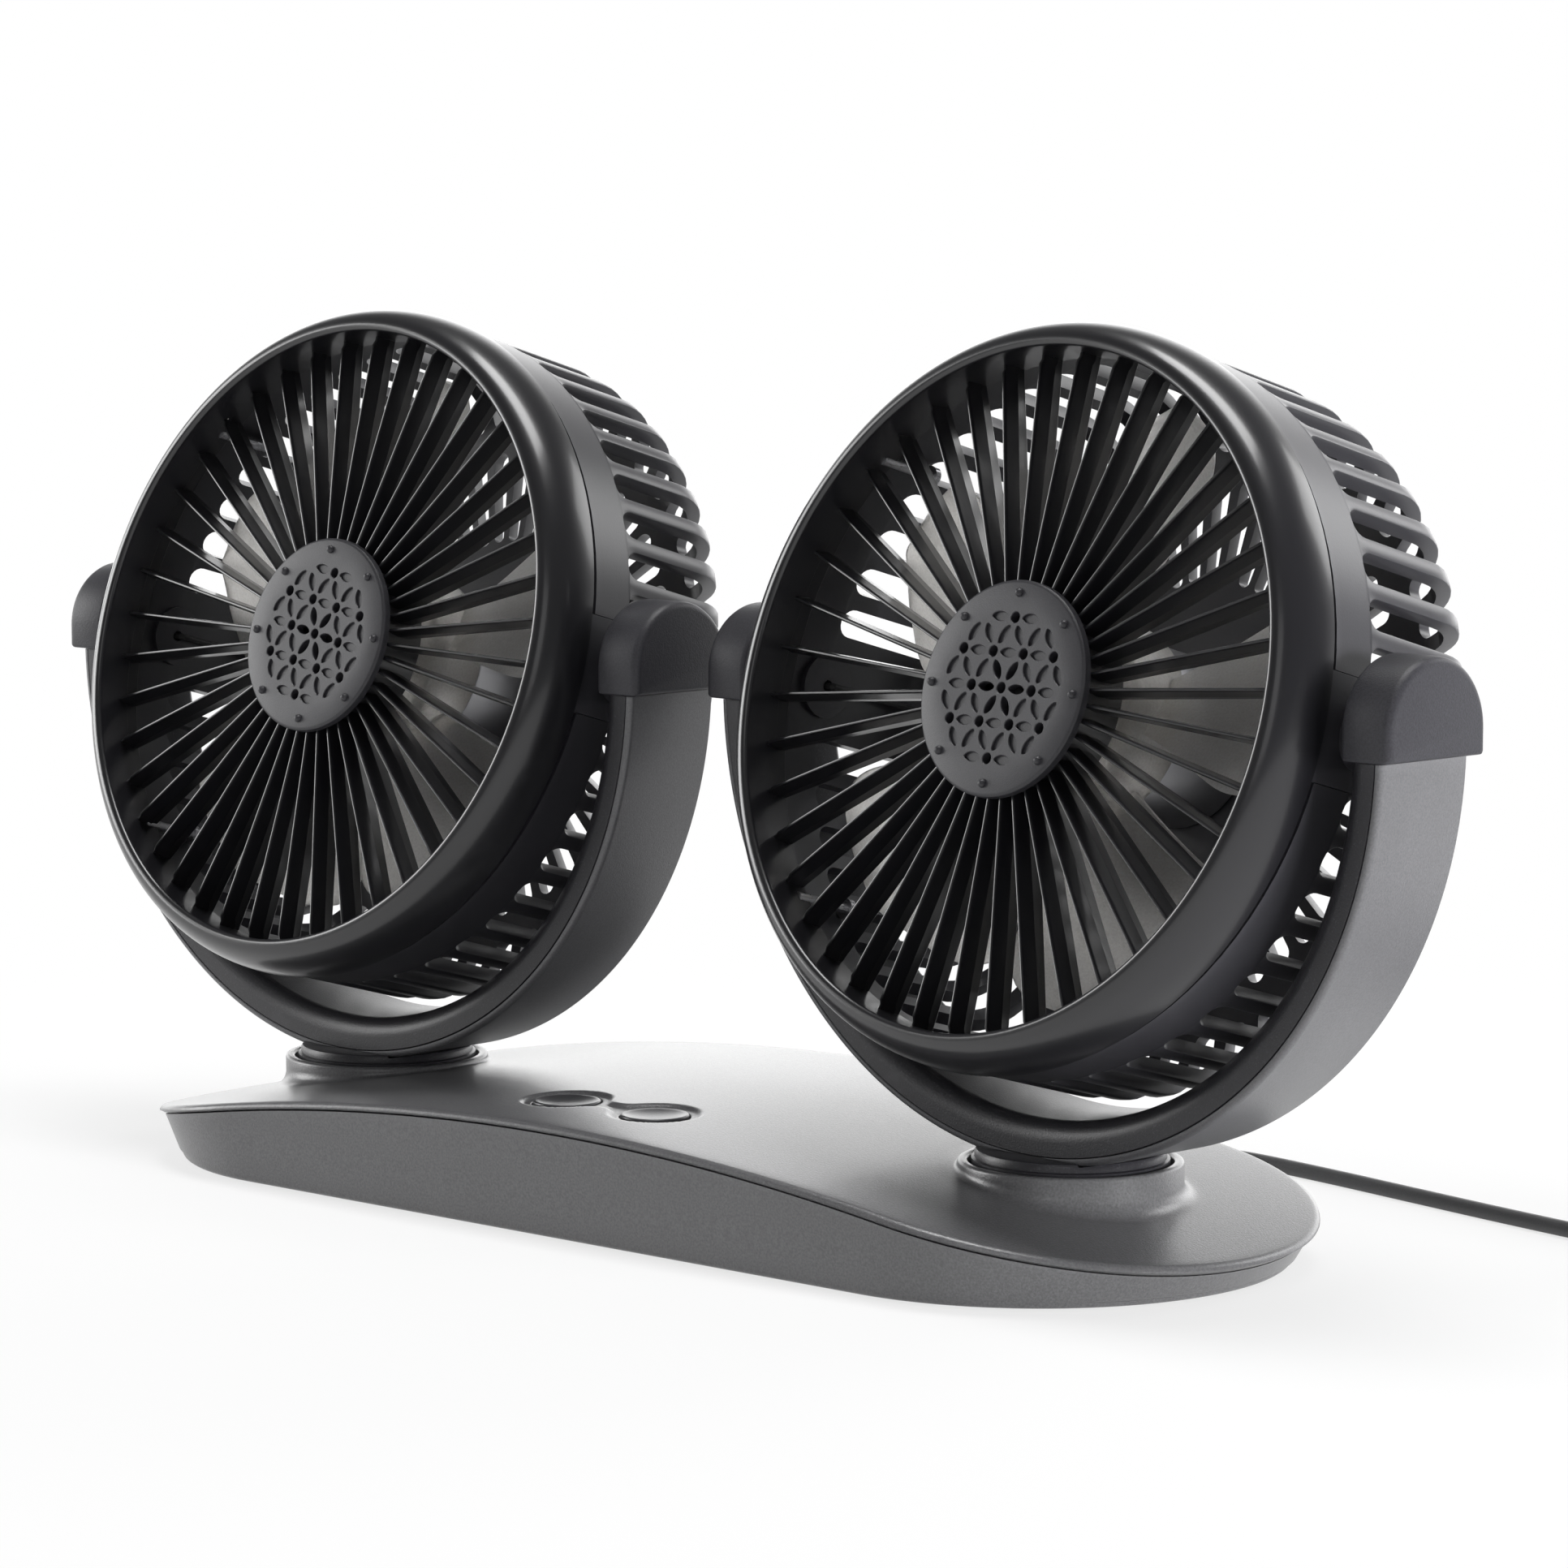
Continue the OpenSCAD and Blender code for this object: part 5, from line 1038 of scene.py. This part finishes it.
class FAN_OT_hub_plates(bpy.types.Operator):
    """Builds the pierced hub plates and their rivets"""
    bl_idname = "fan.hub_plates"
    bl_label = "Hub plates"

    def execute(self, context):
        collar = lathe([(12.95, 11.9), (12.95, 13.92), (12.0, 13.92), (12.0, 11.9)], 96)
        plate = join(hub_plate(), collar)
        rivet = lathe([(0.0, 15.95), (0.22, 15.91), (0.42, 15.79), (0.57, 15.6), (0.64, 15.4),
                       (0.65, 15.28), (0.4, 15.28), (0.37, 13.9), (0.0, 13.9)], 24,
                      close_profile=False)
        first = moved(rivet, Matrix.Translation((RIVET_RING, 0, 0)))
        rivets = join(*[spun(first, 360 * k / RIVETS) for k in range(RIVETS)])
        for side in SIDES:
            piece(f"{side}_pierced_plate", spun(plate, PLATE_TURN[side]), f"{side}_head",
                  "Hub plate satin grey", [f"{side}_hub_plate"], 28,
                  head_place(side))
            piece(f"{side}_rivet_domes", rivets, f"{side}_head", "Hub plate satin grey",
                  [f"{side}_hub_rivets"], 60, head_place(side))
        return {"FINISHED"}


HOUSING_R, HOUSING_BACK, CORNER_R, HOUSING_T, LIP = 53.0, 26.8, 10.0, 2.2, 0.35
SLOTS, SLOT_HALF = 48, 2.2
RING_OUT, RING_IN, DISC_R = 43.4, 39.2, 24.0
# Front of the housing, far enough behind the bezel for a dark seam to show
HOUSING_FRONT = 7.3
# How much wider a slot is at each depth under the skin
SLOT_LIP = {0.0: LIP, 0.1: 0.1, LIP: 0.0, HOUSING_T: 0.0}
PAD_HALF, PAD_BACK, PAD_FRONT, PAD_STEPS = asin(7.7 / HOUSING_R), -7.1, 9.0, 16
PAD_ZONE_OUT, PAD_ZONE_IN = 54.5, 51.95


def housing_rows():
    """Rows down the slotted drum's skin: radius, height, outward normal, half angles of the side
    slot and of the rear slot there."""
    edge = asin(SLOT_HALF / HOUSING_R)

    def side(z, half):
        return (HOUSING_R, z, 1.0, 0.0, half, 0.0)

    def corner(a, half):
        return (HOUSING_R - CORNER_R + CORNER_R * cos(a),
                -HOUSING_BACK + CORNER_R - CORNER_R * sin(a), cos(a), -sin(a), half, 0.0)

    def back(r, half):
        return (r, -HOUSING_BACK - 0.5 * (1 - (r / 43.0) ** 2), 0.0, -1.0, 0.0, half)

    bends = [radians(18 * k) for k in range(6)]
    rows = [side(z, 0.0) for z in (HOUSING_FRONT, 6.0, 3.6, 1.4, 0.4)]
    rows += [side(-SLOT_HALF * (1 - cos(t)), asin(SLOT_HALF * sin(t) / HOUSING_R)) for t in bends]
    rows += [side(z, edge) for z in (-5.0, -8.0, -11.0, -14.0)]
    rows += [corner(radians(9 * k), edge) for k in range(8)]
    full = 1.8
    for t in bends:
        r = RING_OUT + full * (1 - sin(t))
        rows.append(corner(acos((r - HOUSING_R + CORNER_R) / CORNER_R),
                           asin(full * cos(t) / r) if t < bends[-1] else 0.0))
    rows += [corner(pi / 2, 0.0), back(41.3, 0.0)]
    full = 1.55
    for t in bends:
        r = RING_IN - full * (1 - cos(t))
        rows.append(back(r, asin(full * sin(t) / r)))
    rows += [back(r, edge) for r in (35.0, 32.0, 29.0, 26.8)]
    for k in range(5):
        t = radians(22.5 * k)
        r = DISC_R + 1.0 - sin(t)
        rows.append(back(r, asin(cos(t) * 1.04 / r) if k < 4 else 0.0))
    return rows + [back(r, 0.0) for r in (22.0, 17.0, 11.0, 5.0, 0.8)]


def housing_shell():
    """Outer skin, slot walls with rounded lips and inner skin, all in quads."""
    rows = housing_rows()
    bay = 2 * pi / SLOTS
    verts, faces, index = [], [], {}

    def point(row, angle, depth, *mark):
        """A point of a row at a depth under the skin, made once for its mark."""
        r, z, nr, nz = row[:4]
        key = (depth, round(r, 4), round(z, 4), *mark)
        if key not in index:
            index[key] = len(verts)
            reach = r - nr * depth
            verts.append((reach * cos(angle), reach * sin(angle), z - nz * depth))
        return index[key]

    def between(row, s, sgn, depth):
        """The point in the middle of the rib beside a slot."""
        return point(row, (s + 0.5 + sgn / 2) * bay, depth, "rib", (s + (sgn + 1) // 2) % SLOTS)

    def slot_edge(row, half, s, sgn, depth):
        """The point at a slot's edge, or in the bay's middle where the row has no slot."""
        if half == 0.0:
            return point(row, (s + 0.5) * bay, depth, "bay", s)
        return point(row, (s + 0.5) * bay + sgn * (half + SLOT_LIP[depth] / row[0]), depth,
                     "edge", s, sgn)

    for s in range(SLOTS):
        solid = s in (0, SLOTS // 2 - 1, SLOTS // 2, SLOTS - 1)
        for row0, row1 in zip(rows, rows[1:]):
            half0, half1 = [q[5] or (0.0 if solid else q[4]) for q in (row0, row1)]
            for depth in (0.0, HOUSING_T):
                for sgn in (-1, 1):
                    faces.append((between(row0, s, sgn, depth),
                                  slot_edge(row0, half0, s, sgn, depth),
                                  slot_edge(row1, half1, s, sgn, depth),
                                  between(row1, s, sgn, depth)))
            if half0 == half1 == 0.0:
                continue
            for sgn in (-1, 1):
                p = [slot_edge(row0, half0, s, sgn, depth) for depth in SLOT_LIP]
                q = [slot_edge(row1, half1, s, sgn, depth) for depth in SLOT_LIP]
                for k in range(3):
                    face = list(dict.fromkeys((p[k], p[k + 1], q[k + 1], q[k])))
                    if len(face) > 2:
                        faces.append(tuple(face))

    def rim(row, depth):
        """The points round a whole row that has no slots."""
        return [index[(depth, round(row[0], 4), round(row[1], 4), *mark)]
                for s in range(SLOTS) for mark in (("rib", s), ("bay", s))]
    outer, inner = rim(rows[0], 0.0), rim(rows[0], HOUSING_T)
    n = len(outer)
    faces += [(outer[k], outer[(k + 1) % n], inner[(k + 1) % n], inner[k]) for k in range(n)]
    faces += [tuple(rim(rows[-1], depth)) for depth in (0.0, HOUSING_T)]
    return verts, faces


def pad_zone():
    """The stretch of the drum's wall that a side pad takes up."""
    sweep = [-PAD_HALF + 2 * PAD_HALF * k / PAD_STEPS for k in range(PAD_STEPS + 1)]
    ring = [(PAD_ZONE_OUT * cos(a), PAD_ZONE_OUT * sin(a)) for a in sweep]
    ring += [(PAD_ZONE_IN * cos(a), PAD_ZONE_IN * sin(a)) for a in reversed(sweep)]
    return tube([raised(ring, PAD_BACK), raised(ring, PAD_FRONT)], capped=True)


class FAN_OT_housings(bpy.types.Operator):
    """Builds the slotted rear housings, and finishes their side pads and what is fixed in them"""
    bl_idname = "fan.housings"
    bl_label = "Housings"

    def execute(self, context):
        for side in SIDES:
            place = head_place(side)
            piece(f"{side}_slotted_drum", housing_shell(), f"{side}_head", "Housing satin black",
                  [f"{side}_housing"], 50, place,
                  [(spun(pad_zone(), turn), place) for turn in (0, 180)])
            dress({f"{side}_pivot_pads": "Housing satin black",
                   f"{side}_housing_screws": "Plated steel",
                   f"{side}_pivot_screws": "Plated steel", f"{side}_motor": "Drawn motor can",
                   f"{side}_motor_screws": "Plated steel", f"{side}_head_wire": "Wire jacket"})
        return {"FINISHED"}


HUB_R, HUB_BACK, HUB_LEN, ROTOR_R, BLADES = 14.0, -8.2, 10.4, 45.0, 5
BLADE_ROOT, BLADE_T, BLADE_CUP, BLADE_ROWS, BLADE_COLUMNS = HUB_R - 1, 1.1, 2.2, 26, 22
# Half a blade's angle at its root and how much it grows, in degrees, and how thin its edges get
BLADE_HALF, BLADE_GROW, BLADE_THIN = 18, 11, 0.45


def blade_point(u, v, lift, pitch):
    """A point of a blade, from root to tip, from edge to edge and through its thickness."""
    r = BLADE_ROOT + u * (ROTOR_R - BLADE_ROOT)
    half = radians((BLADE_HALF + BLADE_GROW * u) * sqrt(max(1 - u ** 6, 0.02)))
    a = half * v
    t = BLADE_T * (1 - BLADE_THIN * abs(v) ** 3) * (1 - BLADE_THIN * u ** 4)
    z = (HUB_BACK + HUB_LEN / 2 - r * sin(a) * tan(pitch * (1.25 - 0.25 * u))
         + BLADE_CUP * (1 - v * v) * u + lift * t)
    return (r * cos(a), r * sin(a), z)


def blade(pitch):
    """One petal-shaped, pitched and slightly cupped blade with rounded corners."""
    nu, nv = BLADE_ROWS, BLADE_COLUMNS
    w, size = nv + 1, (nu + 1) * (nv + 1)
    verts = [blade_point(i / nu, 2 * j / nv - 1, lift, pitch)
             for lift in (-0.5, 0.5) for i in range(nu + 1) for j in range(nv + 1)]
    faces = []
    for i in range(nu):
        for j in range(nv):
            a = i * w + j
            faces += [(a, a + 1, a + w + 1, a + w),
                      (size + a, size + a + w, size + a + w + 1, size + a + 1)]
    edges = [(i * w + j, i * w + j + w) for i in range(nu) for j in (0, nv)]
    edges += [(i * w + j, i * w + j + 1) for j in range(nv) for i in (0, nu)]
    return verts, faces + [(a, b, size + b, size + a) for a, b in edges]


def hub():
    """The rotor's hub: a cup with a dished front and a boss for the shaft."""
    front, back, r = HUB_BACK + HUB_LEN, HUB_BACK, HUB_R
    return lathe([(1.05, front - 1.6), (3.4, front - 1.6), (3.6, front - 1.4), (3.8, front - 0.2),
                  (4.2, front), (r - 2.2, front), (r - 1.2, front - 0.25), (r - 0.4, front - 0.9),
                  (r - 0.05, front - 1.9), (r, front - 3), (r, back + 0.3), (r - 0.3, back),
                  (r - 1.8, back), (r - 2, back + 0.3), (r - 2, front - 2.2), (3.4, front - 2.2),
                  (3.2, back + 0.2), (1.05, back)], 96)


class FAN_OT_rotors(bpy.types.Operator):
    """Builds the five-blade rotors and finishes their shafts and nuts"""
    bl_idname = "fan.rotors"
    bl_label = "Rotors"

    def execute(self, context):
        one = blade(context.scene.fan_sizes.blade_pitch)
        for side in SIDES:
            blades = [spun(one, BLADE_TURN[side] + 360 * k / BLADES) for k in range(BLADES)]
            piece(f"{side}_blades", join(hub(), *blades), f"{side}_fan", "Blade grained warm grey",
                  [f"{side}_rotor"], 50, head_place(side))
            dress({f"{side}_rotor_shaft": "Ground steel",
                   f"{side}_rotor_nut": "Plain black moulding"})
        return {"FINISHED"}


FLOOR_HALF = 6
# Near the fans the floor keeps more of their shadow than further away
SHADOW_REACH, SHADOW_KEPT = (0.12, 0.34), 0.74
# Lamps: name, setting, place, target and size
LAMPS = (("Top", "top", (0.0, 0.10, 1.1), (0, 0, 0.06), (0.7, 0.4)),
         ("Front", "front", (0.36, -0.74, 0.42), (0, 0, 0.08), (0.4, 0.4)),
         ("Left", "key", (-0.95, -0.38, 0.30), (0, 0, 0.08), (0.5, 0.5)),
         ("Right", "side", (1.0, 0.08, 0.10), (0.1, 0, 0.04), (0.4, 0.18)),
         ("Behind", "rim", (0.42, 0.95, 0.62), (0, 0, 0.08), (0.5, 0.4)))


def either(tree, a, b):
    """The greater of two values."""
    return node(tree, "Math", {0: a, 1: b}, operation="MAXIMUM").outputs[0]


def paper():
    """The floor's matt white, which shows as plain white to the camera and in reflections."""
    mat, tree, shader = blank("Pale paper floor")
    feed(tree, shader, {"Base Color": (0.82, 0.82, 0.82, 1), "Roughness": 0.9,
                        "Specular IOR Level": 0.1})
    glow = node(tree, "Emission", {"Color": (1, 1, 1, 1), "Strength": 1.0})
    rays = node(tree, "LightPath").outputs
    seen = either(tree, either(tree, rays["Is Camera Ray"], rays["Is Glossy Ray"]),
                  rays["Is Transmission Ray"])
    place = node(tree, "TexCoord").outputs["Object"]
    away = node(tree, "VectorMath", {0: place}, operation="LENGTH")
    near, far = SHADOW_REACH
    clear = node(tree, "MapRange", {"From Min": near, "From Max": far, "To Min": SHADOW_KEPT,
                                    "To Max": 1.0, "Value": away.outputs["Value"]},
                 interpolation_type="SMOOTHSTEP")
    share = node(tree, "Math", {0: seen, 1: clear.outputs["Result"]}, operation="MULTIPLY")
    mix = node(tree, "MixShader", {0: share.outputs[0], 1: shader.outputs[0], 2: glow.outputs[0]})
    feed(tree, tree.nodes["Material Output"], {"Surface": mix.outputs[0]})
    return mat


def surround(studio):
    """White to the camera; for the object, a white wall behind and a darker room in front."""
    world = bpy.data.worlds.new("Surroundings")
    world.use_nodes = True
    tree = world.node_tree
    rays = node(tree, "LightPath").outputs
    seen = either(tree, rays["Is Camera Ray"], rays["Is Transmission Ray"])
    direction = node(tree, "TexCoord").outputs["Generated"]
    facing = node(tree, "VectorMath", {0: direction, 1: (-0.50, 0.86, -1.3)},
                  operation="DOT_PRODUCT")
    level = node(tree, "MapRange", {"From Min": -0.1, "From Max": 0.85, "To Min": studio.fill,
                                    "To Max": studio.back, "Value": facing.outputs["Value"]},
                 interpolation_type="SMOOTHSTEP")
    strength = node(tree, "Mix", {"Factor": seen, "A": level.outputs["Result"], "B": 1.0})
    feed(tree, tree.nodes["Background"], {"Color": (1, 1, 1, 1),
                                          "Strength": strength.outputs["Result"]})
    return world


class FAN_OT_stage(bpy.types.Operator):
    """Lays the pale floor and sets the soft studio light"""
    bl_idname = "fan.stage"
    bl_label = "Stage"

    def execute(self, context):
        studio = context.scene.fan_studio
        corners = [(x * FLOOR_HALF, y * FLOOR_HALF, 0)
                   for x, y in ((-1, -1), (1, -1), (1, 1), (-1, 1))]
        mesh = bpy.data.meshes.new("floor")
        mesh.from_pydata(corners, [], [(0, 1, 2, 3)])
        mesh.materials.append(paper())
        floor = bpy.data.objects.new("floor", mesh)
        context.collection.objects.link(floor)
        context.scene.world = surround(studio)
        for name, key, place, target, size in LAMPS:
            data = bpy.data.lights.new(name, "AREA")
            data.shape = "RECTANGLE"
            data.size, data.size_y = size
            data.energy = getattr(studio, key)
            lamp = bpy.data.objects.new(name, data)
            lamp.location = place
            aim = Vector(target) - Vector(place)
            lamp.rotation_euler = aim.to_track_quat("-Z", "Y").to_euler()
            # the right lamp would mirror as a glare in the flat ends of the pivot caps
            lamp.visible_glossy = name != "Right"
            context.collection.objects.link(lamp)
        context.scene.view_settings.view_transform = "Standard"
        return {"FINISHED"}


class FAN_PT_panel(bpy.types.Panel):
    """Lists the fan's pieces, sizes, colours and studio"""
    bl_idname = "FAN_PT_panel"
    bl_label = "Dual-Head Fan"
    bl_space_type = "VIEW_3D"
    bl_region_type = "UI"
    bl_category = "Fan"

    def draw(self, context):
        layout = self.layout
        for cls in PIECES:
            layout.operator(cls.bl_idname)
        for name, _ in GROUPS:
            group = getattr(context.scene, name)
            box = layout.box()
            for key in group.__annotations__:
                box.prop(group, key)


PIECES = (FAN_OT_camera, FAN_OT_cord, FAN_OT_base, FAN_OT_buttons, FAN_OT_yokes, FAN_OT_grilles,
          FAN_OT_hub_plates, FAN_OT_housings, FAN_OT_rotors, FAN_OT_stage)
GROUPS = (("fan_colours", FanColours), ("fan_sizes", FanSizes), ("fan_studio", FanStudio))


def register():
    for name, cls in GROUPS:
        bpy.utils.register_class(cls)
        setattr(bpy.types.Scene, name, PointerProperty(type=cls))
    for cls in PIECES + (FAN_PT_panel,):
        bpy.utils.register_class(cls)


def unregister():
    for cls in reversed(PIECES + (FAN_PT_panel,)):
        bpy.utils.unregister_class(cls)
    for name, cls in reversed(GROUPS):
        delattr(bpy.types.Scene, name)
        bpy.utils.unregister_class(cls)


def main():
    register()
    for cls in PIECES:
        group, call = cls.bl_idname.split(".")
        done = getattr(getattr(bpy.ops, group), call)()
        if "FINISHED" not in done:
            raise RuntimeError(f"{cls.bl_label} did not finish")


if __name__ == "__main__":
    main()
